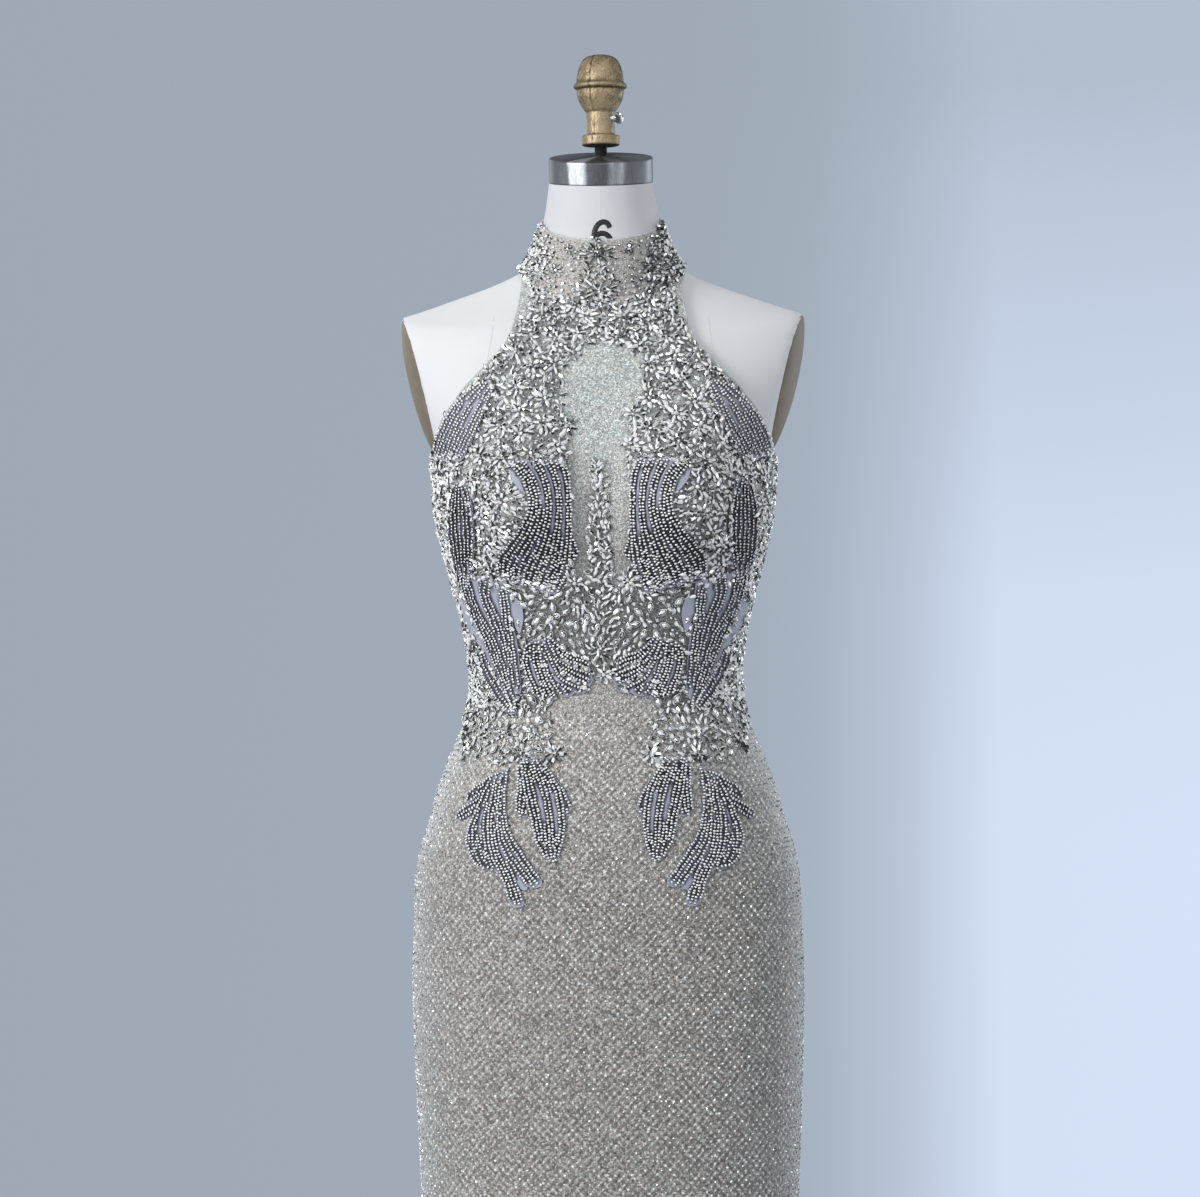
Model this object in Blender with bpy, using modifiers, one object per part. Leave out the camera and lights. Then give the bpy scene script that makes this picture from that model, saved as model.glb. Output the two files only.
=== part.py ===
"""Halter-neck evening gown on a limbless dress form with a plain pole and base.

The gown is cut from cloth walls that follow one surface, `skin`: a stack of superellipse sections from
the hem to the neck.  The dress form inside it uses the same sections.  +Z is up, the gown faces -Y, and
the origin is on the floor under the middle of the base.  The tables are in millimetres.
"""
import math
from collections import namedtuple

import bmesh
import bpy
import numpy as np
from mathutils import Matrix, Vector

MM = 0.001

# ---------------------------------------------------------------- driving sizes, mm
HEM = 10.0
WAIST_SEAM = 1066.0
UNDERARM = 1291.0
NECK_SEAM = 1462.0
COLLAR_TOP = 1505.5
NECK_TOP = 1541.5
FORM_BOTTOM = 720.0

CLOTH_CLEARANCE = 0.6      # cloth to the dress form at the collar, which bears on the neck
FORM_INSET = 2.6           # the form is this much smaller below the collar
INSET_FADE = 14.0          # over the neck seam, until the form fills the collar
CLOTH = 1.8                # net, lining and ground beads together
SEAM = 0.3                 # between two pieces
CRYSTAL_RELIEF = 1.5       # how far crystal-covered cloth is raised
COLLAR_RELIEF = 1.0
BODICE_LIFT = 1.2          # under an applique, over the raised crystals
SKIRT_LIFT = 0.6           # under an applique, over the net
APPLIQUE_EDGE = 0.8
APPLIQUE_CROWN = 1.8

ZIP_END = 905.0            # lower end of the zip, on the skirt
ZIP_GAP = 4.0              # between the two back edges along the zip
ZIP_WIDTH = 3.4

BUST_HEIGHT = 38.0
BUST_APART = 78.0          # each crown from centre front
BUST_LEVEL = 1245.0
BUST_WIDTH = 38.0
BUST_ABOVE = 60.0          # how softly the crown rises from the chest
BUST_BELOW = 37.0

FLUTES = 6                 # soft waves round the hem
FLUTE_DEPTH = 13.0
FLUTE_TOP = 450.0

CAP_RADIUS = 46.8
CAP_HEIGHT = 22.0
CAP_EDGE = 1.0             # chamfer of its rim
CAP_CROWN = 1.2
CAP_TILT = math.radians(10.0)
POST_RADIUS = 5.6
POST_LIFT = 1.8            # over the neck's tilted top
BORE_RADIUS = 6.0
KNOB_BOTTOM = 1574.0
KNOB_BORE = 38.0
SCREW_HEIGHT = 1598.0
SCREW_AZIMUTH = math.radians(55.0)   # from straight ahead, towards +X
POLE_RADIUS = 16.0
BASE_TOP = 60.0
# Radius and height of the base, from its top down.
BASE_PROFILE = [(0, BASE_TOP), (27, BASE_TOP), (31, 56), (33, 38), (46, 26), (186, 12), (200, 6), (200, 0),
                (0, 0)]

KEYHOLE = (33.0, 52.0)     # half width and half height of the bare net at the chest
KEYHOLE_LEVEL = 1345.0
CHANNEL_MIDDLE = 21.0      # bare channels beside the centre strip, from the middle
CHANNEL_HALF = 11.0
CHANNEL_LEVEL = 1235.0
CHANNEL_REACH = 60.0       # above and below that level
CHANNEL_FADE = 25.0

SLIDER_LENGTH = 9.0
SLIDER_WIDTH = 5.0
SLIDER_THICK = 2.2
SLIDER_SPAN = (16.0, 2.0)  # the slider is centred between these, below the collar's top edge
BRIDGE_HALF = 3.4          # of the staple over the slider, along the zip
BRIDGE_HEIGHT = 3.5
BRIDGE_BAR = 0.9
BRIDGE_CORNER = 1.2
PULL_AXIS = 1.25           # over the slider's face
PULL_LENGTH = 22.0
PULL_THICK = 1.0
PULL_TOP_HALF = 1.7
PULL_END_HALF = 2.4
PULL_SHOULDER = 6.0        # where the tab starts to widen, under the crossbar
WINDOW_HALF = 0.95
WINDOW_LENGTH = 5.2
PULL_LEAN = math.radians(8.0)         # stands off the collar

ARM_TOP = (181.0, 1420.0)  # where the arm cut meets the shoulder tip: from the middle, height
ARM_LOW = (153.0, 1300.0)
ARM_CUT = (80.0, 260.0, 200.0)
ARM_PLATE = (44.0, 57.0)   # half depth and half height of the plate
ARM_PLATE_DOME = 8.0
ARM_PLATE_RIM = 0.2        # straight rim, as a share of the dome
ARM_PLATE_LEVEL = 1360.0
ARM_PLATE_BACK = 6.0       # behind the middle

# Radius and height over the flange's underside, from the top of the knob down.
KNOB_PROFILE = [(0, 82.5), (11, 81.3), (17, 76), (19.6, 69), (20.9, 56.4), (23.4, 55.3), (24.0, 53.6),
                (23.4, 52), (20.9, 50.8), (19.2, 41), (15.8, 33.4), (12.4, 28.4), (12.2, 18), (12.8, 13.1),
                (16.6, 12.5), (16.8, 4), (13.8, 0), (0, 0)]
SHANK_RADIUS = 2.4
SHANK_BORE = 3.0
SHANK_LENGTH = 12.0
SHANK_START = 5.9          # from the knob's axis
SOCKET_START = 2.0
SOCKET_LENGTH = 20.0
SPADE_RADIUS = 5.6
SPADE_THICK = 2.6
SPADE_LIFT = 2.0           # the spade's middle past the end of the shank
SPADE_TURN = math.radians(20.0)       # from upright, about the screw's axis

# ---------------------------------------------------------------- sections, mm and degrees
TILT_BLEND = 40.0          # depth over which a section's front tilt becomes its back tilt
Section = namedtuple("Section", "z half_width front back squareness front_tilt back_tilt")
SECTIONS = [
    Section(10, 288, 272, 272, 2.00, 0, 0),
    Section(100, 247, 222, 226, 2.00, 0, 0),
    Section(200, 207, 168, 175, 2.05, 0, 0),
    Section(300, 175, 130, 136, 2.10, 0, 0),
    Section(400, 157, 108, 112, 2.15, 0, 0),
    Section(470, 155, 104, 107, 2.20, 0, 0),
    Section(550, 160, 106, 109, 2.25, 0, 0),
    Section(628, 166, 109, 113, 2.30, 0, 0),
    Section(720, 170, 111, 119, 2.35, 0, 0),
    Section(780, 172, 112, 123, 2.35, 0, 0),
    Section(820, 173, 112, 126, 2.35, 0, 0),
    Section(880, 171, 110, 126, 2.35, 0, 0),
    Section(915, 170, 109, 123, 2.35, 0, 0),
    Section(940, 166, 108, 119, 2.35, 0, 0),
    Section(968, 157, 106, 113, 2.30, 0, 0),
    Section(995, 150, 103, 105, 2.30, 0, 0),
    Section(1021, 140, 100, 98, 2.25, 0, 0),
    Section(1048, 129, 96, 90, 2.25, 0, 0),
    Section(1075, 120.5, 92, 84, 2.20, 0, 0),
    Section(1097, 118.5, 91, 82, 2.20, 0, 0),
    Section(1130, 122, 92, 84, 2.25, 0, 0),
    Section(1156, 127, 94, 88, 2.30, 0, 0),
    Section(1183, 134, 97, 93, 2.30, 0, 0),
    Section(1210, 141, 99, 98, 2.35, 0, 0),
    Section(1237, 147.5, 101, 102, 2.35, 0, 0),
    Section(1265, 150.5, 101, 106, 2.35, 0, 0),
    Section(1292, 152, 99, 109, 2.30, 0, 0),
    Section(1312, 160, 96, 110, 2.20, 0, 0),
    Section(1335, 173, 93, 111, 2.10, 1, 0),
    Section(1362, 187, 88, 110, 2.00, 3, 2),
    Section(1390, 197, 80, 105, 1.90, 6, 4),
    Section(1410, 198, 73, 100, 1.80, 10, 6),
    Section(1420, 190, 69, 96, 1.75, 13, 8),
    Section(1428, 165, 66, 92, 1.75, 16, 10),
    Section(1437, 138, 62, 87, 1.75, 20, 11),
    Section(1447, 108, 59, 81, 1.80, 26, 12),
    Section(1456, 85, 57, 76, 1.90, 30, 14),
    Section(1464, 71, 55, 71, 2.00, 32, 15),
    Section(1480, 61, 50, 64, 2.00, 29, 16),
    Section(1505.5, 52.5, 47, 57, 2.00, 23, 16),
    Section(1525, 49, 46.5, 51, 2.00, 16, 13),
    Section(1541.5, 46.8, 46.8, 46.8, 2.00, 10, 10),
]

# Half-width of the halter at each section height, front and back, from the underarm to the collar.
ArmEdge = namedtuple("ArmEdge", "z half_width")
ARM_EDGES = [
    ArmEdge(1291, 151), ArmEdge(1305, 149), ArmEdge(1327, 140), ArmEdge(1355, 121), ArmEdge(1383, 98),
    ArmEdge(1406, 82), ArmEdge(1434, 75), ArmEdge(1450, 72.5), ArmEdge(1462, 70),
]

FRONT_COLUMNS = 22         # across the front of the bodice and the form
BACK_COLUMNS = 16          # across the back of the form
BODICE_BACK_COLUMNS = 8    # across each half of the bodice back
SKIRT_FRONT_COLUMNS = 18
SKIRT_BACK_COLUMNS = 9
COLLAR_COLUMNS = 32
APPLIQUE_COLUMNS = 4
SKIRT_LEVELS = (HEM, 60, 115, 170, 225, 280, 335, 390, 445, 510, 580, 650, 720, 780, 830, 870, ZIP_END,
                940, 970, 1000, 1025, 1046, WAIST_SEAM - SEAM)
SHOULDER_LEVELS = (1299, 1311, 1331, 1352, 1373, 1389, 1402, 1413, 1422, 1430, 1438, 1446, 1454)
BODICE_LEVELS = (WAIST_SEAM + SEAM, 1081, 1098, 1118, 1139, 1160, 1180, 1198, 1214, 1230, 1246, 1262, 1277,
                 UNDERARM, *SHOULDER_LEVELS, NECK_SEAM - 0.5)
COLLAR_LEVELS = (NECK_SEAM + 1.0, 1476, 1491, COLLAR_TOP)
FORM_LEVELS = (FORM_BOTTOM, 780, 830, 870, ZIP_END, 940, 970, 1000, 1025, 1050, 1075, 1098, 1124, 1152, 1180,
               1203, 1225, 1246, 1268, UNDERARM, *SHOULDER_LEVELS, 1463, 1476, 1491, COLLAR_TOP, 1524,
               NECK_TOP)

# ---------------------------------------------------------------- appliques, mm
# A leaf or spray follows a spine of (from centre front, height) points on the left of the gown, and its
# full width is given at even steps along the spine.  Each is mirrored to the right.
Applique = namedtuple("Applique", "name spine widths steps slot")
APPLIQUES = [
    Applique("leaf_armhole", ((103, 1360), (127, 1330), (141, 1286)), (6, 17, 20, 17, 8), 6, "bead_leaf"),
    Applique("leaf_bust_inner", ((50, 1288), (47, 1250), (54, 1212), (57, 1174)),
             (26, 36, 36, 44, 54, 52, 26), 8, "bead_leaf"),
    Applique("leaf_bust_outer", ((122, 1268), (124, 1232), (114, 1190)), (8, 18, 22, 20, 8), 6, "bead_leaf"),
    Applique("leaf_waist_long", ((101, 1182), (93, 1148), (80, 1115), (76, 1080)),
             (34, 34, 26, 18, 13, 11, 8), 8, "bead_leaf"),
    Applique("leaf_waist_side", ((107, 1122), (98, 1100), (88, 1083)), (5, 11, 13, 11, 5), 4, "bead_leaf"),
    Applique("leaf_waist_fan", ((60, 1118), (42, 1105), (14, 1094)), (24, 42, 42, 30, 12), 5, "bead_leaf"),
    Applique("leaf_hip_outer", ((88, 1015), (99, 972), (95, 940), (72, 897)),
             (8, 30, 38, 38, 30, 12), 8, "bead_leaf"),
    Applique("leaf_hip_inner", ((61, 1024), (53, 982), (44, 938)), (20, 38, 42, 26, 8), 6, "bead_leaf"),
    Applique("spray_hip", ((112, 1050), (82, 1044), (42, 1041)), (18, 30, 34, 28, 12), 5, "crystal"),
]

# ---------------------------------------------------------------- materials: colour, metallic, roughness
MATERIALS = {
    "skirt_net": ((0.42, 0.40, 0.385), 0.15, 0.45),
    "bodice_net": ((0.44, 0.45, 0.46), 0.15, 0.45),
    "bead_leaf": ((0.26, 0.27, 0.33), 0.6, 0.30),
    "crystal": ((0.62, 0.64, 0.66), 0.4, 0.12),
    "zip": ((0.50, 0.50, 0.50), 0.0, 0.55),
    "zip_metal": ((0.62, 0.62, 0.64), 1.0, 0.30),
    "form_cover": ((0.86, 0.87, 0.88), 0.0, 0.75),
    "arm_plate": ((0.26, 0.21, 0.14), 0.0, 0.60),
    "neck_cap": ((0.36, 0.38, 0.42), 1.0, 0.32),
    "neck_knob": ((0.42, 0.30, 0.15), 0.7, 0.48),
    "post": ((0.02, 0.02, 0.025), 0.6, 0.40),
    "screw": ((0.75, 0.77, 0.80), 1.0, 0.18),
    "stand": ((0.05, 0.05, 0.055), 0.5, 0.45),
}


# ---------------------------------------------------------------- the shared surface
def smooth_column(heights, values, z):
    """Values read between table rows by a cubic that keeps to the rows and never overshoots them."""
    heights, values, z = (np.asarray(v, float) for v in (heights, values, z))
    step = np.diff(heights)
    slope = np.diff(values) / step
    tangent = np.zeros_like(values)
    tangent[0], tangent[-1] = slope[0], slope[-1]
    before, after = slope[:-1], slope[1:]
    turning = before * after <= 0
    safe_before, safe_after = np.where(turning, 1, before), np.where(turning, 1, after)
    weight_before, weight_after = 2 * step[1:] + step[:-1], step[1:] + 2 * step[:-1]
    mean = (weight_before + weight_after) / (weight_before / safe_before + weight_after / safe_after)
    tangent[1:-1] = np.where(turning, 0, mean)
    row = np.clip(np.searchsorted(heights, z) - 1, 0, len(step) - 1)
    t = (z - heights[row]) / step[row]
    return ((1 + 2 * t) * (1 - t) ** 2 * values[row] + t * (1 - t) ** 2 * step[row] * tangent[row]
            + t * t * (3 - 2 * t) * values[row + 1] + t * t * (t - 1) * step[row] * tangent[row + 1])


def section(name, z):
    """One column of the section table at height z."""
    return smooth_column([s.z for s in SECTIONS], [getattr(s, name) for s in SECTIONS], z)


def ease(t):
    """0 to 1 with a soft start and end."""
    t = np.clip(t, 0, 1)
    return t * t * (3 - 2 * t)


def bust(x, z):
    """How far the front stands out at the two crowns, mm."""
    rise = np.where(z > BUST_LEVEL, BUST_ABOVE, BUST_BELOW)
    level = np.exp(-((z - BUST_LEVEL) / rise) ** 2 / 2)
    crowns = (np.exp(-((x - c) / BUST_WIDTH) ** 2 / 2) for c in (-BUST_APART, BUST_APART))
    return BUST_HEIGHT * level * sum(crowns)


def base_skin(phi, z):
    """The body surface.  phi is 0 at the +X side, a quarter turn at centre front and a half turn at -X."""
    cos, sin = np.cos(phi), np.sin(phi)
    power = 2 / section("squareness", z)
    reach = np.abs(sin) ** power
    x = section("half_width", z) * np.sign(cos) * np.abs(cos) ** power
    depth = np.where(sin > 0, section("front", z) + bust(x, z), section("back", z))
    y = -np.sign(sin) * depth * reach
    flute = FLUTE_DEPTH * ease((FLUTE_TOP - z) / (FLUTE_TOP - HEM)) * np.cos(FLUTES * phi)
    outward = 1 + flute / np.hypot(x, y)
    x, y = x * outward, y * outward
    side = ease(y / TILT_BLEND + 0.5)
    front_slope = np.tan(np.radians(section("front_tilt", z)))
    back_slope = np.tan(np.radians(section("back_tilt", z)))
    return np.stack([x, y, z + y * (front_slope * (1 - side) + back_slope * side)], axis=-1)


def skin(phi, z, out=0.0):
    """Points of the body surface moved out along its normal, mm."""
    phi, z, out = np.broadcast_arrays(*(np.asarray(v, float) for v in (phi, z, out)))
    nudge = 1e-3
    around = base_skin(phi + nudge, z) - base_skin(phi - nudge, z)
    below, above = np.maximum(z - 0.5, HEM), np.minimum(z + 0.5, NECK_TOP)
    up = base_skin(phi, above) - base_skin(phi, below)
    normal = np.cross(up, around)
    normal /= np.linalg.norm(normal, axis=-1, keepdims=True)
    return base_skin(phi, z) + normal * out[..., None]


def turn_to_x(x, z):
    """How far the front edge turns in from the side, radians, for a point x from the middle."""
    share = np.clip(np.abs(x) / section("half_width", z), 0, 1)
    return np.arccos(share ** (section("squareness", z) / 2))


def turn_to_y(y, depth, z):
    """How far a side seam turns in from the side, radians, for an edge y from the widest line."""
    return np.arcsin((y / section(depth, z)) ** (section("squareness", z) / 2))


def arm_turn(z, depth):
    """The panel's outer edge: the side seam up to the underarm, then the halter's cut."""
    z = np.asarray(z, float)
    seam = turn_to_y(SEAM / 2, depth, z)
    cut = turn_to_x(smooth_column([e.z for e in ARM_EDGES], [e.half_width for e in ARM_EDGES], z), z)
    return np.where(z > UNDERARM, np.maximum(cut, seam), seam)


def on_front(x, height):
    """Turn and section height of the front point at this distance from the middle and true height."""
    z = np.array(height, float)
    for _ in range(12):
        turn = turn_to_x(x, z)
        z += height - base_skin(turn, z)[..., 2]
    return turn_to_x(x, z), z


def crystal_cover(phi, z):
    """1 where crystals cover the bodice, 0 on the bare net of the keyhole and beside the centre strip."""
    x, _, height = np.moveaxis(base_skin(phi, z), -1, 0)
    keyhole = ease(2 * (np.hypot(x / KEYHOLE[0], (height - KEYHOLE_LEVEL) / KEYHOLE[1]) - 0.8))
    beside = ease(np.abs(np.abs(x) - CHANNEL_MIDDLE) / CHANNEL_HALF - 0.3)
    past = ease((np.abs(height - CHANNEL_LEVEL) - CHANNEL_REACH) / CHANNEL_FADE)
    return keyhole * np.maximum(beside, past)


# ---------------------------------------------------------------- building blocks
def material(name):
    """The material of a slot, made at its first use."""
    found = bpy.data.materials.get(name)
    if found:
        return found
    colour, metallic, roughness = MATERIALS[name]
    made = bpy.data.materials.new(name)
    made.use_nodes = True
    shader = made.node_tree.nodes["Principled BSDF"]
    shader.inputs["Base Color"].default_value = (*colour, 1)
    shader.inputs["Metallic"].default_value = metallic
    shader.inputs["Roughness"].default_value = roughness
    made.diffuse_color = (*colour, 1)
    return made


def link(obj, slot=None, collection="evening_gown"):
    """Puts an object in its collection and gives it its slot's material."""
    bpy.data.collections[collection].objects.link(obj)
    if slot:
        obj.data.materials.append(material(slot))
    return obj


def mesh_object(name, points, faces, slot):
    """A closed body from points in mm, with its faces turned outward."""
    mesh = bpy.data.meshes.new(name)
    mesh.from_pydata([tuple(p) for p in np.asarray(points) * MM], [], faces)
    solid = bmesh.new()
    solid.from_mesh(mesh)
    bmesh.ops.recalc_face_normals(solid, faces=solid.faces)
    solid.to_mesh(mesh)
    solid.free()
    mesh.shade_smooth()
    mesh.set_sharp_from_angle(angle=math.radians(50))
    return link(bpy.data.objects.new(name, mesh), slot)


def wall(name, phi, z, inner, outer, slot):
    """A closed cloth wall between two offsets of the skin, over a grid of turns and section heights."""
    rows, cols = phi.shape
    points = np.concatenate([skin(phi, z, outer).reshape(-1, 3), skin(phi, z, inner).reshape(-1, 3)])
    inside = rows * cols
    faces = []
    for r in range(rows - 1):
        for c in range(cols - 1):
            quad = (r * cols + c, r * cols + c + 1, (r + 1) * cols + c + 1, (r + 1) * cols + c)
            faces.append(quad)
            faces.append(tuple(inside + v for v in reversed(quad)))
    border = list(range(cols)) + [r * cols + cols - 1 for r in range(1, rows)]
    border += [(rows - 1) * cols + c for c in range(cols - 2, -1, -1)]
    border += [r * cols for r in range(rows - 2, 0, -1)]
    for here, there in zip(border, border[1:] + border[:1]):
        faces.append((there, here, inside + here, inside + there))
    return mesh_object(name, points, faces, slot)


def turned(name, profile, segments, slot, collection="evening_gown"):
    """A profile of (radius, height) points, top to bottom, turned about Z."""
    mesh = bpy.data.meshes.new(name)
    points = [(radius * MM, 0, height * MM) for radius, height in profile]
    mesh.from_pydata(points, [(i, i + 1) for i in range(len(points) - 1)], [])
    obj = link(bpy.data.objects.new(name, mesh), slot, collection)
    screw = obj.modifiers.new("turn", "SCREW")
    screw.steps = screw.render_steps = segments
    screw.use_merge_vertices = True
    screw.merge_threshold = 1e-5
    screw.use_smooth_shade = True
    return obj


def cutter(obj):
    """Hides a body that only cuts or joins another."""
    obj.hide_render = True
    obj.display_type = "WIRE"
    return obj


def cylinder(name, radius, length, segments, slot=None, collection="evening_gown"):
    """A cylinder about Z, centred on its own origin."""
    mesh = bpy.data.meshes.new(name)
    solid = bmesh.new()
    bmesh.ops.create_cone(solid, cap_ends=True, segments=segments, radius1=radius * MM, radius2=radius * MM,
                          depth=length * MM)
    solid.to_mesh(mesh)
    solid.free()
    mesh.shade_smooth()
    mesh.set_sharp_from_angle(angle=math.radians(50))
    return link(bpy.data.objects.new(name, mesh), slot, collection)


def block(name, size, slot=None, collection="evening_gown"):
    """A box centred on its own origin."""
    mesh = bpy.data.meshes.new(name)
    solid = bmesh.new()
    bmesh.ops.create_cube(solid, size=1)
    bmesh.ops.scale(solid, vec=Vector(size) * MM, verts=solid.verts)
    solid.to_mesh(mesh)
    solid.free()
    return link(bpy.data.objects.new(name, mesh), slot, collection)


def boolean(obj, other, operation):
    """Adds or takes away another body."""
    modifier = obj.modifiers.new(operation.lower(), "BOOLEAN")
    modifier.operation = operation
    modifier.object = other
    modifier.solver = "EXACT"


def outline_mesh(name, outlines, thickness, slot):
    """A flat plate in XY from closed outlines, outer first, made a mesh so that it can be joined or cut."""
    curve = bpy.data.curves.new(name, "CURVE")
    curve.dimensions = "2D"
    curve.fill_mode = "BOTH"
    curve.extrude = thickness / 2 * MM
    for outline in outlines:
        spline = curve.splines.new("POLY")
        spline.points.add(len(outline) - 1)
        spline.use_cyclic_u = True
        for point, (x, y) in zip(spline.points, outline):
            point.co = (x * MM, y * MM, 0, 1)
    drawn = link(bpy.data.objects.new(name + "_outline", curve))
    bpy.context.view_layer.update()
    graph = bpy.context.evaluated_depsgraph_get()
    mesh = bpy.data.meshes.new_from_object(drawn.evaluated_get(graph))
    bpy.data.objects.remove(drawn)
    solid = bmesh.new()
    solid.from_mesh(mesh)
    bmesh.ops.remove_doubles(solid, verts=solid.verts, dist=1e-6)
    solid.to_mesh(mesh)
    solid.free()
    mesh.name = name
    mesh.materials.clear()
    return link(bpy.data.objects.new(name, mesh), slot)


def arc(centre, radius, start, end, steps):
    """Points of an arc, its angles in degrees."""
    angles = np.radians(np.linspace(start, end, steps + 1))
    return [(centre[0] + radius * math.cos(a), centre[1] + radius * math.sin(a)) for a in angles]


# ---------------------------------------------------------------- the gown
def grid(levels, start, end, columns):
    """Turns and section heights of a panel whose two edges are given at each level."""
    z = np.repeat(np.asarray(levels, float)[:, None], columns + 1, axis=1)
    share = np.linspace(0, 1, columns + 1)[None, :]
    return np.asarray(start)[:, None] * (1 - share) + np.asarray(end)[:, None] * share, z


def back_edge(levels):
    """The centre-back edge: beside the zip, then a closed seam below it."""
    z = np.asarray(levels, float)
    gap = np.where(z >= ZIP_END, ZIP_GAP / 2, SEAM / 2)
    return math.pi / 2 - turn_to_x(gap, z)


def bodice_front():
    """The halter front from side seam to side seam, raised where crystals cover it."""
    levels = np.array(BODICE_LEVELS)
    edge = arm_turn(levels, "front")
    phi, z = grid(levels, edge, math.pi - edge, FRONT_COLUMNS)
    outer = CLOTH_CLEARANCE + CLOTH + CRYSTAL_RELIEF * crystal_cover(phi, z)
    wall("bodice_front", phi, z, CLOTH_CLEARANCE, outer, "bodice_net")


def bodice_back():
    """The halter back in two halves, one each side of the zip."""
    levels = np.array(BODICE_LEVELS)
    edge, middle = arm_turn(levels, "back"), back_edge(levels)
    for name, start, end in (("bodice_back_left", math.pi + edge, 1.5 * math.pi - middle),
                             ("bodice_back_right", 1.5 * math.pi + middle, 2 * math.pi - edge)):
        phi, z = grid(levels, start, end, BODICE_BACK_COLUMNS)
        wall(name, phi, z, CLOTH_CLEARANCE, CLOTH_CLEARANCE + CLOTH, "bodice_net")


def collar():
    """The stand collar in one piece, open at the centre back."""
    levels = np.array(COLLAR_LEVELS)
    middle = back_edge(levels)
    phi, z = grid(levels, -math.pi / 2 + middle, 1.5 * math.pi - middle, COLLAR_COLUMNS)
    wall("collar", phi, z, CLOTH_CLEARANCE, CLOTH_CLEARANCE + CLOTH + COLLAR_RELIEF, "crystal")


def skirt():
    """The skirt's front and its two back panels, seamed at the sides and at the centre back."""
    levels = np.array(SKIRT_LEVELS)
    edge = turn_to_y(SEAM / 2, "front", levels)
    back = turn_to_y(SEAM / 2, "back", levels)
    middle = back_edge(levels)
    for name, start, end, columns in (
            ("skirt_front", edge, math.pi - edge, SKIRT_FRONT_COLUMNS),
            ("skirt_back_left", math.pi + back, 1.5 * math.pi - middle, SKIRT_BACK_COLUMNS),
            ("skirt_back_right", 1.5 * math.pi + middle, 2 * math.pi - back, SKIRT_BACK_COLUMNS)):
        phi, z = grid(levels, start, end, columns)
        wall(name, phi, z, CLOTH_CLEARANCE, CLOTH_CLEARANCE + CLOTH, "skirt_net")


def spine_points(spine, steps):
    """Even steps along a smooth curve through the spine's points."""
    knots = np.linspace(0, 1, len(spine))
    t = np.linspace(0, 1, steps + 1)
    fit = [np.polyfit(knots, [p[k] for p in spine], len(spine) - 1) for k in (0, 1)]
    return np.stack([np.polyval(f, t) for f in fit], axis=-1), t


def appliques():
    """Beaded leaves and crystal sprays: domed walls that follow the panel they lie on."""
    for item in APPLIQUES:
        spine, t = spine_points(item.spine, item.steps)
        width = smooth_column(np.linspace(0, 1, len(item.widths)), item.widths, t)
        along = np.gradient(spine, axis=0)
        across = np.stack([-along[:, 1], along[:, 0]], axis=-1) / np.linalg.norm(along, axis=-1)[:, None]
        share = np.linspace(-0.5, 0.5, APPLIQUE_COLUMNS + 1)
        flat = spine[:, None, :] + across[:, None, :] * (width[:, None] * share[None, :])[..., None]
        phi, z = on_front(flat[..., 0], flat[..., 1])
        on_bodice = item.spine[0][1] > WAIST_SEAM
        lift = CRYSTAL_RELIEF + BODICE_LIFT if on_bodice else SKIRT_LIFT
        ground = CLOTH_CLEARANCE + CLOTH + lift
        dome = (1 - (2 * share[None, :]) ** 2) * np.sin(np.pi * np.clip(t, 0.06, 0.94))[:, None] ** 0.5
        outer = ground + APPLIQUE_EDGE + (APPLIQUE_CROWN - APPLIQUE_EDGE) * dome
        wall(item.name + "_right", phi, z, ground, outer, item.slot)
        wall(item.name + "_left", math.pi - phi, z, ground, outer, item.slot)


def zip_tape():
    """The closed tape and teeth between the two back edges, from the skirt to the collar's top."""
    on_skirt = [level for level in SKIRT_LEVELS if level > ZIP_END]
    levels = np.array([*on_skirt, *BODICE_LEVELS[::2], *COLLAR_LEVELS])
    half = math.pi / 2 - turn_to_x(ZIP_WIDTH / 2, levels)
    phi, z = grid(levels, 1.5 * math.pi - half, 1.5 * math.pi + half, 2)
    wall("zip_tape", phi, z, CLOTH_CLEARANCE, CLOTH_CLEARANCE + CLOTH, "zip")


def slider_frame():
    """Where the slider sits: its place on the collar's centre back, and axes with Z out of the cloth."""
    lift = CLOTH_CLEARANCE + CLOTH + COLLAR_RELIEF + SEAM
    low, high = skin(1.5 * math.pi, COLLAR_TOP - np.array(SLIDER_SPAN), lift)
    up = Vector(high - low).normalized()
    side = Vector((-1, 0, 0))
    frame = Matrix((side, up, side.cross(up))).transposed().to_4x4()
    out = Vector((0, 0, SLIDER_THICK / 2))
    frame.translation = (Vector(low + high) / 2 + frame.to_3x3() @ out) * MM
    return frame


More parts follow.
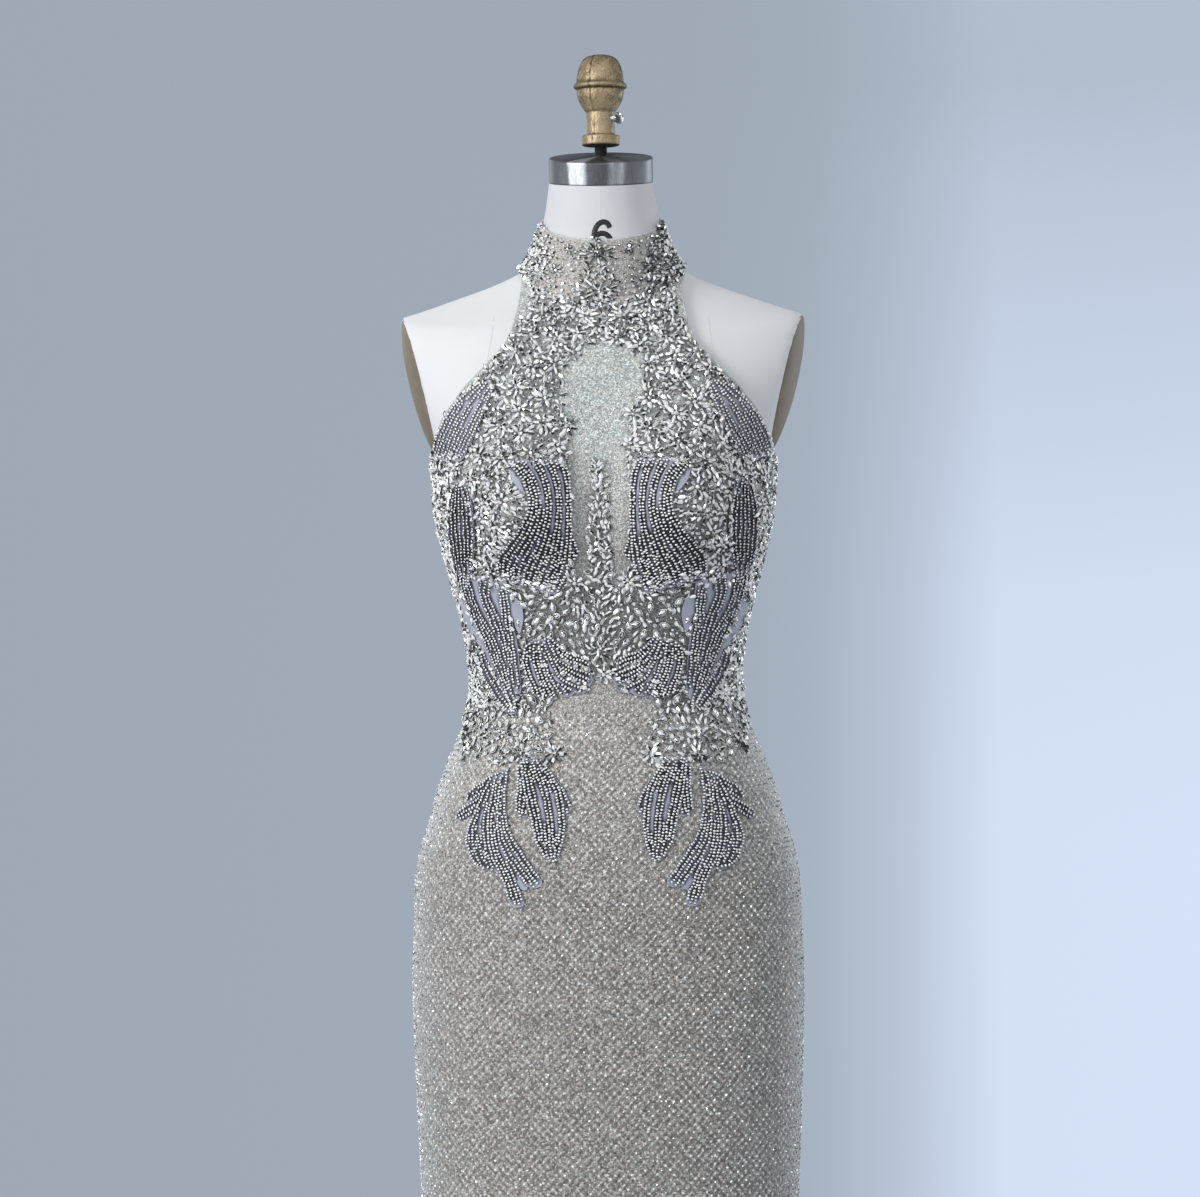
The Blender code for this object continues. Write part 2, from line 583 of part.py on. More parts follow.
def zip_slider():
    """The slider's body with a staple over it for the pull tab."""
    body = block("zip_slider", (SLIDER_WIDTH, SLIDER_LENGTH, SLIDER_THICK), "zip_metal")
    inner_half, inner_height = BRIDGE_HALF - BRIDGE_BAR, BRIDGE_HEIGHT - BRIDGE_BAR
    sunk = -SLIDER_THICK / 2
    middle, level = BRIDGE_HALF - BRIDGE_CORNER, BRIDGE_HEIGHT - BRIDGE_CORNER
    arch = [(BRIDGE_HALF, sunk), *arc((middle, level), BRIDGE_CORNER, 0, 90, 3),
            *arc((-middle, level), BRIDGE_CORNER, 90, 180, 3), (-BRIDGE_HALF, sunk), (-inner_half, sunk),
            (-inner_half, inner_height), (inner_half, inner_height), (inner_half, sunk)]
    bridge = outline_mesh("zip_bridge", [arch], BRIDGE_BAR, None)
    # The outline's X runs up the zip and its Y out of the cloth.
    turn = Matrix(((0, 0, 1), (1, 0, 0), (0, 1, 0))).to_4x4()
    turn.translation = Vector((0, 0, SLIDER_THICK / 2 * MM))
    bridge.data.transform(turn)
    bpy.data.collections["evening_gown"].objects.unlink(bridge)
    bpy.data.collections["cutters"].objects.link(cutter(bridge))
    boolean(body, bridge, "UNION")
    frame = slider_frame()
    body.matrix_world = frame
    bridge.matrix_world = frame


def zip_pull():
    """A drop-shaped tab whose window rides round the bridge.  Its origin is on the crossbar's axis."""
    bar, end = PULL_THICK / 2, PULL_END_HALF - PULL_LENGTH
    outer = [(-PULL_TOP_HALF, bar), (-PULL_TOP_HALF, -PULL_SHOULDER), (-PULL_END_HALF, end),
             *arc((0, end), PULL_END_HALF, 180, 360, 8), (PULL_TOP_HALF, -PULL_SHOULDER),
             (PULL_TOP_HALF, bar)]
    window = [(-WINDOW_HALF, -bar), (WINDOW_HALF, -bar), (WINDOW_HALF, -WINDOW_LENGTH),
              (-WINDOW_HALF, -WINDOW_LENGTH)]
    pull = outline_mesh("zip_pull", [outer, window], PULL_THICK, "zip_metal")
    frame = slider_frame()
    frame.translation += frame.to_3x3() @ Vector((0, 0, (SLIDER_THICK / 2 + PULL_AXIS) * MM))
    pull.matrix_world = frame @ Matrix.Rotation(-PULL_LEAN, 4, "X")


# ---------------------------------------------------------------- the dress form
def form_torso():
    """The limbless dress form, cut flat at both arms."""
    levels = np.array(FORM_LEVELS, float)
    turns = np.concatenate([np.linspace(0, math.pi, FRONT_COLUMNS, endpoint=False),
                            np.linspace(math.pi, 2 * math.pi, BACK_COLUMNS, endpoint=False)])
    columns = len(turns)
    phi = turns[None, :] * np.ones((len(levels), 1))
    z = levels[:, None] * np.ones((1, columns))
    inset = -FORM_INSET * ease((NECK_SEAM + INSET_FADE - z) / INSET_FADE)
    points = skin(phi, z, inset).reshape(-1, 3)
    top = (len(levels) - 1) * columns
    faces = [tuple(range(columns - 1, -1, -1)), tuple(range(top, top + columns))]
    for r in range(len(levels) - 1):
        for c in range(columns):
            n = (c + 1) % columns
            faces.append((r * columns + c, r * columns + n, (r + 1) * columns + n, (r + 1) * columns + c))
    torso = mesh_object("form_torso", points, faces, "form_cover")
    for side, name in ((1, "arm_cut_right"), (-1, "arm_cut_left")):
        cut = cutter(block(name, ARM_CUT, collection="cutters"))
        cut.matrix_world = arm_frame(side) @ Matrix.Translation((side * ARM_CUT[0] / 2 * MM, 0, 0))
        boolean(torso, cut, "DIFFERENCE")


def arm_frame(side):
    """The plane of an arm cut: its X points out of the form on the right and into it on the left."""
    lean = math.atan2(ARM_TOP[0] - ARM_LOW[0], ARM_TOP[1] - ARM_LOW[1])
    share = (ARM_PLATE_LEVEL - ARM_LOW[1]) / (ARM_TOP[1] - ARM_LOW[1])
    x = ARM_LOW[0] + share * (ARM_TOP[0] - ARM_LOW[0])
    place = Matrix.Translation(Vector((x, ARM_PLATE_BACK, ARM_PLATE_LEVEL)) * MM)
    frame = place @ Matrix.Rotation(lean, 4, "Y")
    mirror = Matrix.Diagonal((-1, 1, 1, 1))
    return frame if side > 0 else mirror @ frame @ mirror


def arm_plates():
    """A domed oval plate closes each arm cut, clear of the cut face by a seam."""
    for side, name in ((1, "arm_plate_right"), (-1, "arm_plate_left")):
        dome = [(math.sin(a), math.cos(a)) for a in np.linspace(0, math.pi / 2, 5)]
        plate = turned(name, dome + [(1.0, -ARM_PLATE_RIM), (0.0, -ARM_PLATE_RIM)], 24, "arm_plate")
        size = Matrix.Diagonal((ARM_PLATE[1], ARM_PLATE[0], ARM_PLATE_DOME, 1))
        seat = Matrix.Translation((side * (ARM_PLATE_DOME * ARM_PLATE_RIM + SEAM) * MM, 0, 0))
        plate.matrix_world = arm_frame(side) @ seat @ Matrix.Rotation(side * math.pi / 2, 4, "Y") @ size


def neck_cap():
    """The tilted metal cap on the neck, bored for the post."""
    frame = Matrix.Translation((0, 0, NECK_TOP * MM)) @ Matrix.Rotation(CAP_TILT, 4, "X")
    low, high = SEAM, SEAM + CAP_HEIGHT
    profile = [(0, high + CAP_CROWN), (CAP_RADIUS - CAP_EDGE, high), (CAP_RADIUS, high - CAP_EDGE),
               (CAP_RADIUS, low), (0, low)]
    cap = turned("neck_cap", profile, 32, "neck_cap")
    cap.matrix_world = frame
    bore = cutter(cylinder("cap_bore", BORE_RADIUS, 4 * CAP_HEIGHT, 16, collection="cutters"))
    bore.location = (0, 0, (NECK_TOP + CAP_HEIGHT / 2) * MM)
    boolean(cap, bore, "DIFFERENCE")


def neck_post():
    """The post from the neck into the knob, 1 mm short of the bore's end."""
    low, high = NECK_TOP + POST_LIFT, KNOB_BOTTOM + KNOB_BORE - 1
    post = cylinder("neck_post", POST_RADIUS, high - low, 16, "post")
    post.location = (0, 0, (low + high) / 2 * MM)


def screw_frame():
    """The thumb screw's axis: Z points out of the knob."""
    out = Vector((math.sin(SCREW_AZIMUTH), -math.cos(SCREW_AZIMUTH), 0))
    up = Vector((0, 0, 1))
    frame = Matrix((up, out.cross(up), out)).transposed().to_4x4()
    frame.translation = Vector((0, 0, SCREW_HEIGHT)) * MM
    return frame


def neck_knob():
    """The turned knob, bored for the post and for the thumb screw."""
    knob = turned("neck_knob", KNOB_PROFILE, 20, "neck_knob")
    knob.location = (0, 0, KNOB_BOTTOM * MM)
    socket = cutter(cylinder("knob_socket", BORE_RADIUS, 2 * KNOB_BORE, 16, collection="cutters"))
    socket.location = (0, 0, KNOB_BOTTOM * MM)
    boolean(knob, socket, "DIFFERENCE")
    side = cutter(cylinder("screw_socket", SHANK_BORE, SOCKET_LENGTH, 12, collection="cutters"))
    reach = Matrix.Translation((0, 0, (SOCKET_START + SOCKET_LENGTH / 2) * MM))
    side.matrix_world = screw_frame() @ reach
    boolean(knob, side, "DIFFERENCE")


def thumb_screw():
    """The shank with its round flat spade."""
    shank = cylinder("thumb_screw", SHANK_RADIUS, SHANK_LENGTH, 12, "screw")
    shank.data.transform(Matrix.Translation((0, 0, (SHANK_START + SHANK_LENGTH / 2) * MM)))
    spade = cutter(cylinder("screw_spade", SPADE_RADIUS, SPADE_THICK, 18, collection="cutters"))
    lift = Matrix.Translation((0, 0, (SHANK_START + SHANK_LENGTH + SPADE_LIFT) * MM))
    turn = Matrix.Rotation(SPADE_TURN, 4, "Z") @ Matrix.Rotation(math.pi / 2, 4, "X")
    spade.matrix_world = screw_frame() @ lift @ turn
    shank.matrix_world = screw_frame()
    boolean(shank, spade, "UNION")


def stand():
    """The pole under the form, inside the skirt, and its round base."""
    pole_top = FORM_BOTTOM - SEAM
    pole = cylinder("stand_pole", POLE_RADIUS, pole_top - BASE_TOP - SEAM, 24, "stand")
    pole.location = (0, 0, (pole_top + BASE_TOP + SEAM) / 2 * MM)
    turned("stand_base", BASE_PROFILE, 32, "stand")


def main():
    for obj in list(bpy.data.objects):
        bpy.data.objects.remove(obj)
    for name in ("evening_gown", "cutters"):
        bpy.context.scene.collection.children.link(bpy.data.collections.new(name))
    bodice_front()
    bodice_back()
    collar()
    skirt()
    appliques()
    zip_tape()
    zip_slider()
    zip_pull()
    form_torso()
    arm_plates()
    neck_cap()
    neck_post()
    neck_knob()
    thumb_screw()
    stand()


main()
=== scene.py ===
"""Looks of a halter-neck evening gown on a limbless dress form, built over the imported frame.

Tables and small shapes are in millimetres, in the part's own frame: +Z up, the gown faces -Y, and +X is on
the right as the front is seen.  Everything that lies on the gown or the form is placed on one surface,
`skin`, by its turn round the body and its section height.
"""
import math
from collections import namedtuple
from itertools import product
from math import cos, pi, radians, sin, tan

import bmesh
import bpy
import numpy as np
from mathutils import Matrix, Vector
from mathutils.kdtree import KDTree


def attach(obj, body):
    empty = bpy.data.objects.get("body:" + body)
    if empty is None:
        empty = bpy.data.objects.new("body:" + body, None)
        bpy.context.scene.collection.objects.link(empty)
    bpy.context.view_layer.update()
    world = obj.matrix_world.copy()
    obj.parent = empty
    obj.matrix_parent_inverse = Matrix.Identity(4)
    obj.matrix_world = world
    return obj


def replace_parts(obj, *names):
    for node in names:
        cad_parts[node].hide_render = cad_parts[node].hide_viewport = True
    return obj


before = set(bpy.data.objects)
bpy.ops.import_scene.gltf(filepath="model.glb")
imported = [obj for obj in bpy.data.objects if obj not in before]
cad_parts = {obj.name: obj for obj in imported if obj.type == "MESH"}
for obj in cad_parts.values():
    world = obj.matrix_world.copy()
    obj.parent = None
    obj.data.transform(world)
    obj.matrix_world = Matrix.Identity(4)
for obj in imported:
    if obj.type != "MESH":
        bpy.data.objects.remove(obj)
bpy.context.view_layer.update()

bl_info = {
    "name": "Evening Gown Looks",
    "version": (1, 0, 0),
    "blender": (4, 5, 0),
    "location": "View3D > Sidebar > Gown",
    "description": "Cloth, crystals, beads, dress form and studio for a beaded halter-neck gown",
    "category": "Object",
}

MM = 0.001
GOWN, SCREW = "gown_and_form", "clamp_screw"

# ---------------------------------------------------------------- sizes shared with the solids, mm
HEM = 10.0
WAIST_SEAM = 1066.0
UNDERARM = 1291.0
NECK_SEAM = 1462.0
COLLAR_TOP = 1505.5
NECK_TOP = 1541.5
FORM_BOTTOM = 720.0
CLOTH_CLEARANCE = 0.6
FORM_INSET = 2.6
INSET_FADE = 14.0
SEAM = 0.3
ZIP_END = 905.0
ZIP_GAP = 4.0
BUST_HEIGHT = 38.0
BUST_APART = 78.0
BUST_LEVEL = 1245.0
BUST_WIDTH = 38.0
BUST_ABOVE = 60.0
BUST_BELOW = 37.0
FLUTES = 6
FLUTE_DEPTH = 13.0
FLUTE_TOP = 450.0
TILT_BLEND = 40.0
CAP_RADIUS = 46.8
CAP_HEIGHT = 22.0
CAP_TILT = radians(10.0)
CAP_WEDGE = radians(2.2)
KNOB_BOTTOM = 1574.0
SCREW_HEIGHT = 1598.0
SCREW_AZIMUTH = radians(55.0)
SPADE_TURN = radians(20.0)
ARM_TOP = (181.0, 1420.0)
ARM_LOW = (153.0, 1300.0)
ARM_PLATE_BACK = 6.0
ARM_TURN = radians(6.5)          # how far each arm cut faces forward
ARM_DOME = 8.5
WAIST_CRYSTALS = 1086.0         # where crystals end over the waist, in true height

# Sections of the body: height, half-width, depth of front and back, squareness, and tilt of front and back.
COLUMNS = ("z", "half_width", "front", "back", "squareness", "front_tilt", "back_tilt")
SECTIONS = np.array([
    (10, 288, 272, 272, 2.00, 0, 0), (100, 247, 222, 226, 2.00, 0, 0), (200, 207, 168, 175, 2.05, 0, 0),
    (300, 175, 130, 136, 2.10, 0, 0), (400, 157, 108, 112, 2.15, 0, 0), (470, 155, 104, 107, 2.20, 0, 0),
    (550, 160, 106, 109, 2.25, 0, 0), (628, 166, 109, 113, 2.30, 0, 0), (720, 170, 111, 119, 2.35, 0, 0),
    (780, 172, 112, 123, 2.35, 0, 0), (820, 173, 112, 126, 2.35, 0, 0), (880, 171, 110, 126, 2.35, 0, 0),
    (915, 170, 109, 123, 2.35, 0, 0), (940, 166, 108, 119, 2.35, 0, 0), (968, 157, 106, 113, 2.30, 0, 0),
    (995, 150, 103, 105, 2.30, 0, 0), (1021, 140, 100, 98, 2.25, 0, 0), (1048, 129, 96, 90, 2.25, 0, 0),
    (1075, 120.5, 92, 84, 2.20, 0, 0), (1097, 118.5, 91, 82, 2.20, 0, 0), (1130, 122, 92, 84, 2.25, 0, 0),
    (1156, 127, 94, 88, 2.30, 0, 0), (1183, 134, 97, 93, 2.30, 0, 0), (1210, 141, 99, 98, 2.35, 0, 0),
    (1237, 147.5, 101, 102, 2.35, 0, 0), (1265, 150.5, 101, 106, 2.35, 0, 0), (1292, 152, 99, 109, 2.30, 0, 0),
    (1312, 160, 96, 110, 2.20, 0, 0), (1335, 173, 93, 111, 2.10, 1, 0), (1362, 187, 88, 110, 2.00, 3, 2),
    (1390, 197, 80, 105, 1.90, 6, 4), (1410, 198, 73, 100, 1.80, 10, 6), (1420, 190, 69, 96, 1.75, 13, 8),
    (1428, 165, 66, 92, 1.75, 16, 10), (1437, 138, 62, 87, 1.75, 20, 11), (1447, 108, 59, 81, 1.80, 26, 12),
    (1456, 85, 57, 76, 1.90, 30, 14), (1464, 71, 55, 71, 2.00, 32, 15), (1480, 61, 50, 64, 2.00, 29, 16),
    (1505.5, 52.5, 47, 57, 2.00, 23, 16), (1525, 49, 46.5, 51, 2.00, 16, 13),
    (1541.5, 46.8, 46.8, 46.8, 2.00, 10, 10),
])
# Height and half-width of the halter, from the underarm to the collar.
ARM_EDGE = np.array([(1291, 151), (1305, 149), (1327, 140), (1355, 121), (1383, 98), (1406, 82), (1434, 75),
                     (1450, 72.5), (1462, 70)])

# ---------------------------------------------------------------- beaded leaves, mm
# A leaf is a few patches.  A patch has two edges of (from centre front, height) points on the left of the
# gown and a rounded tip so many mm long, or 0 for a scalloped end; its ground cloth fills the same shape.
Patch = namedtuple("Patch", "left right tip", defaults=(0,))
LEAVES = {
    "leaf_armhole": [
        Patch(((105, 1356), (124, 1341), (139, 1320), (148, 1295)),
              ((93, 1352), (100, 1333), (108, 1313), (119, 1291)))],
    "leaf_bust_inner": [
        Patch(((77, 1283), (66, 1268), (62, 1247), (71, 1227), (87, 1206), (88, 1190)),
              ((33, 1285), (29, 1270), (28, 1246), (28, 1218), (30, 1195), (39, 1175))),
        Patch(((33, 1228), (30, 1212), (29, 1200)), ((28, 1229), (25, 1218), (21, 1209)))],
    "leaf_bust_outer": [
        Patch(((127, 1267), (132, 1244), (131, 1216), (124, 1181)),
              ((115, 1269), (110, 1244), (110, 1214), (116, 1181)))],
    "leaf_waist_long": [
        Patch(((124, 1191), (116, 1162), (102, 1132), (87, 1096), (78, 1070)),
              ((115, 1189), (107, 1160), (92, 1131), (81, 1095), (74, 1069))),
        Patch(((104, 1188), (104, 1172), (97, 1152), (90, 1129), (80, 1093)),
              ((94, 1189), (97, 1172), (89, 1151), (83, 1128), (76, 1092))),
        Patch(((88, 1175), (86, 1162), (85, 1146), (81, 1126), (75, 1092)),
              ((82, 1176), (80, 1161), (79, 1145), (76, 1124), (72, 1090)))],
    "leaf_waist_side": [
        Patch(((109, 1120), (103, 1100), (91, 1079), (81, 1067)), ((103, 1122), (95, 1103), (84, 1083), (76, 1069)))],
    "leaf_waist_fan": [
        Patch(((67, 1124), (67, 1107), (59, 1084)), ((55, 1130), (51, 1106), (41, 1081))),
        Patch(((54, 1127), (46, 1101), (36, 1083)), ((50, 1130), (37, 1099), (16, 1087))),
        Patch(((49, 1130), (36, 1106), (13, 1092)), ((47, 1132), (36, 1112), (12, 1101))),
        Patch(((46, 1132), (34, 1116), (14, 1107)), ((45, 1134), (33, 1122), (15, 1115)))],
    "leaf_hip_outer": [
        Patch(((89, 1010), (92, 978), (89, 951), (75, 929), (67, 918)),
              ((83, 1017), (86, 991), (82, 963), (67, 938), (56, 922)), 5),
        Patch(((94, 1008), (100, 973), (98, 945), (88, 923), (82, 903)),
              ((89, 1010), (92, 978), (90, 951), (81, 930), (71, 904)), 5),
        Patch(((99, 1006), (115, 971), (119, 954), (112, 936), (103, 932)),
              ((94, 1008), (100, 973), (97, 947), (94, 936), (93, 931))),
        Patch(((88, 1015), (101, 1008), (118, 996)), ((90, 1004), (104, 997), (116, 990))),
        Patch(((97, 1000), (112, 989), (127, 979)), ((99, 991), (112, 981), (125, 973)))],
    "leaf_hip_inner": [
        Patch(((71, 1024), (68, 999), (62, 973), (59, 957), (51, 942)),
              ((52, 1024), (39, 1001), (35, 980), (35, 961), (40, 942)), 4),
        Patch(((46, 1011), (39, 995), (36, 981)), ((43, 1011), (34, 997), (29, 984))),
        Patch(((74, 1018), (74, 1001), (76, 982)), ((68, 1015), (66, 998), (67, 978)))],
}
LOBE, SCALLOP = 9.0, 2.6         # width and depth of the rounded ends of a leaf
RIM = 1.1                        # ground cloth that shows past the outer beads
GROUND_CLOTH = 0.7               # its thickness
ROW_WAVER = 0.3                  # how far a row strays to each side
LEAF_BEAD_SHAPE = (0.80, 1.12, 1.0)   # along its row, across it and high, as shares of a round bead
# Ground cloth that shows between the stems of the long waist leaf.
STEM_GROUND = Patch(((126, 1192), (117, 1162), (103, 1132), (89, 1096), (79, 1068)),
                    ((81, 1180), (79, 1161), (78, 1145), (74, 1124), (71, 1088)))
# Ground cloth that shows where two tails of the outer hip leaf part.
TAIL_GROUND = Patch(((90, 953), (81, 931), (72, 915)), ((88, 951), (75, 929), (68, 917)))
# Ground cloth left bare beside the leaves.
BARE = {"leaf_waist_long": [Patch(((126, 1166), (119, 1146), (107, 1128), (93, 1104)),
                                  ((119, 1164), (110, 1142), (99, 1124), (87, 1103))),
                            Patch(((79, 1170), (77, 1156), (74, 1143)), ((70, 1163), (69, 1152), (71, 1141)))],
        "leaf_bust_inner": [Patch(((76, 1278), (74, 1270), (69, 1262)), ((71, 1280), (67, 1271), (65, 1261)))]}
# Rows left out so that the ground shows: leaf, patch, share across, and shares along from and to.
SLITS = [("leaf_bust_inner", 0, 0.30, 0.0, 0.40), ("leaf_bust_inner", 0, 0.56, 0.05, 0.55),
         ("leaf_bust_inner", 0, 0.80, 0.08, 0.58), ("leaf_hip_inner", 0, 0.42, 0.25, 0.62),
         ("leaf_hip_inner", 0, 0.72, 0.35, 0.75), ("leaf_waist_fan", 0, 0.4, 0.3, 0.8),
         ("leaf_waist_fan", 1, 0.5, 0.35, 0.8), ("leaf_armhole", 0, 0.3, 0.0, 0.45),
         ("leaf_armhole", 0, 0.62, 0.0, 0.6),
         ("leaf_hip_outer", 2, 0.5, 0.3, 0.6)]
# How much of its ground's own colour a leaf shows between its beads at least; the rest of the ground near beads is
# painted shade.
GROUND_SHOWS = {"leaf_armhole": 0.4, "leaf_waist_long": 0.16, "leaf_hip_outer": 0.12, "leaf_waist_side": 0.16}
# How much lighter the beads of a leaf are.
LEAF_TONE = {"leaf_hip_outer": 0.08, "leaf_waist_fan": -0.08, "leaf_armhole": 0.06}

# Flowers: from centre front (left side), height, petals, petal circle's radius, stone length.
FLOWERS = [(41, 1147, 7, 13.0, 10.5), (85, 1049, 8, 8.6, 8.0)]
# Framed oval stones: from centre front, height, turn in degrees, length.
OVALS = [(67, 1164, 40, 9.5), (60, 1176, 15, 8.5), (72, 1147, 80, 8.5), (22, 1166, 50, 9.0), (24, 1143, 100, 8.5),
          (20, 1128, 60, 8.0), (68, 1130, 120, 8.5), (62, 1078, 60, 9.5), (54, 1060, 20, 9.0), (48, 1048, 160, 9.5),
          (57, 1036, 30, 9.0), (96, 1063, 100, 9.0), (108, 1058, 70, 9.0), (96, 1034, 140, 9.0), (108, 1037, 60, 8.5),
          (72, 1066, 100, 8.5), (47, 1077, 110, 8.0), (66, 1053, 20, 8.5)]


# ---------------------------------------------------------------- the shared surface
def smooth_column(heights, values, z):
    """Values read between table rows by a cubic that keeps to the rows and never overshoots them."""
    z = np.asarray(z, float)
    step = np.diff(heights)
    slope = np.diff(values) / step
    tangent = np.zeros_like(values)
    tangent[0], tangent[-1] = slope[0], slope[-1]
    before, after = slope[:-1], slope[1:]
    turning = before * after <= 0
    safe_before, safe_after = np.where(turning, 1, before), np.where(turning, 1, after)
    weight_before, weight_after = 2 * step[1:] + step[:-1], step[1:] + 2 * step[:-1]
    mean = (weight_before + weight_after) / (weight_before / safe_before + weight_after / safe_after)
    tangent[1:-1] = np.where(turning, 0, mean)
    row = np.clip(np.searchsorted(heights, z) - 1, 0, len(step) - 1)
    t = (z - heights[row]) / step[row]
    return ((1 + 2 * t) * (1 - t) ** 2 * values[row] + t * (1 - t) ** 2 * step[row] * tangent[row]
            + t * t * (3 - 2 * t) * values[row + 1] + t * t * (t - 1) * step[row] * tangent[row + 1])


def section(name, z):
    """One column of the section table at height z."""
    return smooth_column(SECTIONS[:, 0], SECTIONS[:, COLUMNS.index(name)], z)


def ease(t):
    """0 to 1 with a soft start and end."""
    t = np.clip(t, 0, 1)
    return t * t * (3 - 2 * t)


def bust(x, z):
    """How far the front stands out at the two crowns, mm."""
    rise = np.where(z > BUST_LEVEL, BUST_ABOVE, BUST_BELOW)
    level = np.exp(-((z - BUST_LEVEL) / rise) ** 2 / 2)
    crowns = (np.exp(-((x - c) / BUST_WIDTH) ** 2 / 2) for c in (-BUST_APART, BUST_APART))
    return BUST_HEIGHT * level * sum(crowns)


def base_skin(phi, z):
    """The body surface.  phi is 0 at the +X side, a quarter turn at centre front and a half turn at -X."""
    cos, sin = np.cos(phi), np.sin(phi)
    power = 2 / section("squareness", z)
    reach = np.abs(sin) ** power
    x = section("half_width", z) * np.sign(cos) * np.abs(cos) ** power
    depth = np.where(sin > 0, section("front", z) + bust(x, z), section("back", z))
    y = -np.sign(sin) * depth * reach
    flute = FLUTE_DEPTH * ease((FLUTE_TOP - z) / (FLUTE_TOP - HEM)) * np.cos(FLUTES * phi)
    outward = 1 + flute / np.hypot(x, y)
    x, y = x * outward, y * outward
    side = ease(y / TILT_BLEND + 0.5)
    front_slope = np.tan(np.radians(section("front_tilt", z)))
    back_slope = np.tan(np.radians(section("back_tilt", z)))
    return np.stack([x, y, z + y * (front_slope * (1 - side) + back_slope * side)], axis=-1)


def unit(vectors):
    return vectors / np.linalg.norm(vectors, axis=-1, keepdims=True)


def surface(phi, z):
    """Points of the body surface with their directions around, up and out."""
    phi, z = np.broadcast_arrays(np.asarray(phi, float), np.asarray(z, float))
    nudge = 1e-3
    around = unit(base_skin(phi + nudge, z) - base_skin(phi - nudge, z))
    below, above = np.maximum(z - 0.5, HEM), np.minimum(z + 0.5, NECK_TOP)
    up = base_skin(phi, above) - base_skin(phi, below)
    out = unit(np.cross(up, around))
    return base_skin(phi, z), around, np.cross(around, out), out


def skin(phi, z, out=0.0):
    """Points of the body surface moved out along its normal, mm."""
    points, _, _, normal = surface(phi, z)
    return points + normal * np.broadcast_to(out, points.shape[:-1])[..., None]


def turn_to_x(x, z):
    """How far the front edge turns in from the side, radians, for a point x from the middle."""
    share = np.clip(np.abs(x) / section("half_width", z), 0, 1)
    return np.arccos(share ** (section("squareness", z) / 2))


def turn_to_y(y, depth, z):
    """How far a side seam turns in from the side, radians, for an edge y from the widest line."""
    return np.arcsin((y / section(depth, z)) ** (section("squareness", z) / 2))


def halter_edge(z):
    """How far the halter reaches from the middle, mm."""
    return smooth_column(*ARM_EDGE.T, np.clip(z, UNDERARM, NECK_SEAM))


def form_inset(z):
    """How far the form lies within the skin: nothing above the collar's seam."""
    return -FORM_INSET * ease((NECK_SEAM + INSET_FADE - z) / INSET_FADE)


def arm_turn(z, depth, gap):
    """The panel's outer edge: the side seam up to the underarm, then the halter's cut."""
    z = np.asarray(z, float)
    seam = turn_to_y(gap / 2, depth, z)
    cut = turn_to_x(smooth_column(*ARM_EDGE.T, z), z)
    return np.where(z > UNDERARM, np.maximum(cut, seam), seam)


def on_front(x, height):
    """Turn and section height of the front point at this distance right of the middle and true height."""
    x, z = np.asarray(x, float), np.array(height, float)
    for _ in range(12):
        z += height - base_skin(turn_to_x(x, z), z)[..., 2]
        z = np.clip(z, HEM, NECK_TOP)
    turn = turn_to_x(x, z)
    return np.where(x < 0, pi - turn, turn), z

def lengths(line):
    """How far along a line each of its points lies."""
    return np.concatenate([[0], np.cumsum(np.linalg.norm(np.diff(line, axis=0), axis=1))])


def along_line(at, length, values):
    """Columns of values read at distances along a line."""
    return np.stack([np.interp(at, length, column) for column in values], axis=-1)


def through(points, count):
    """Even steps along a smooth curve through the points."""
    p = np.asarray(points, float)
    ends = np.concatenate([[2 * p[0] - p[1]], p, [2 * p[-1] - p[-2]]])
    t = np.linspace(0, 1, 24, endpoint=False)[:, None]
    dense = [0.5 * (2 * b + (c - a) * t + (2 * a - 5 * b + 4 * c - d) * t ** 2 + (3 * b - a - 3 * c + d) * t ** 3)
             for a, b, c, d in (ends[i:i + 4] for i in range(len(p) - 1))]
    dense = np.concatenate(dense + [p[-1:]])
    length = lengths(dense)
    return along_line(np.linspace(0, length[-1], count), length, dense.T)


# ---------------------------------------------------------------- mesh building
def keep_values(obj, name, values, domain="POINT"):
    """Keeps a number or a vector for each point or face, under a name that materials read."""
    values = np.asarray(values, np.float32)
    kind, field = ("FLOAT_VECTOR", "vector") if values.ndim > 1 else ("FLOAT", "value")
    obj.data.attributes.new(name, kind, domain).data.foreach_set(field, values.ravel())


def build(name, points, faces, material, smooth=True, sharp=None, tints=None, slot=None, body=GOWN):
    """A piece from points in mm and arrays of faces.  tints are one number a face, for its material."""
    points = np.asarray(points, float).reshape(-1, 3) * MM
    faces = [np.asarray(f, int) for f in (faces if isinstance(faces, list) else [faces])]
    sizes = np.concatenate([np.full(len(f), f.shape[1]) for f in faces])
    mesh = bpy.data.meshes.new(name)
    mesh.vertices.add(len(points))
    mesh.vertices.foreach_set("co", points.astype(np.float32).ravel())
    mesh.loops.add(int(sizes.sum()))
    mesh.loops.foreach_set("vertex_index", np.concatenate([f.ravel() for f in faces]).astype(np.int32))
    mesh.polygons.add(len(sizes))
    mesh.polygons.foreach_set("loop_start", np.concatenate([[0], np.cumsum(sizes)[:-1]]).astype(np.int32))
    mesh.update(calc_edges=True)
    if smooth:
        mesh.shade_smooth()
        if sharp:
            mesh.set_sharp_from_angle(angle=radians(sharp))
    else:
        mesh.shade_flat()
    mesh.materials.append(material)
    obj = bpy.data.objects.new(name, mesh)
    if tints is not None:
        keep_values(obj, "tint", tints, "FACE")
    bpy.context.scene.collection.objects.link(obj)
    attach(obj, body)
    return obj


def grid_faces(rows, cols, start=0, around=False):
    """Quads of a grid of points, closed around if asked."""
    r, c = np.meshgrid(np.arange(rows - 1), np.arange(cols if around else cols - 1), indexing="ij")
    r, n = r * cols + start, (c + 1) % cols
    return np.stack([r + c, r + n, r + cols + n, r + cols + c], axis=-1).reshape(-1, 4)


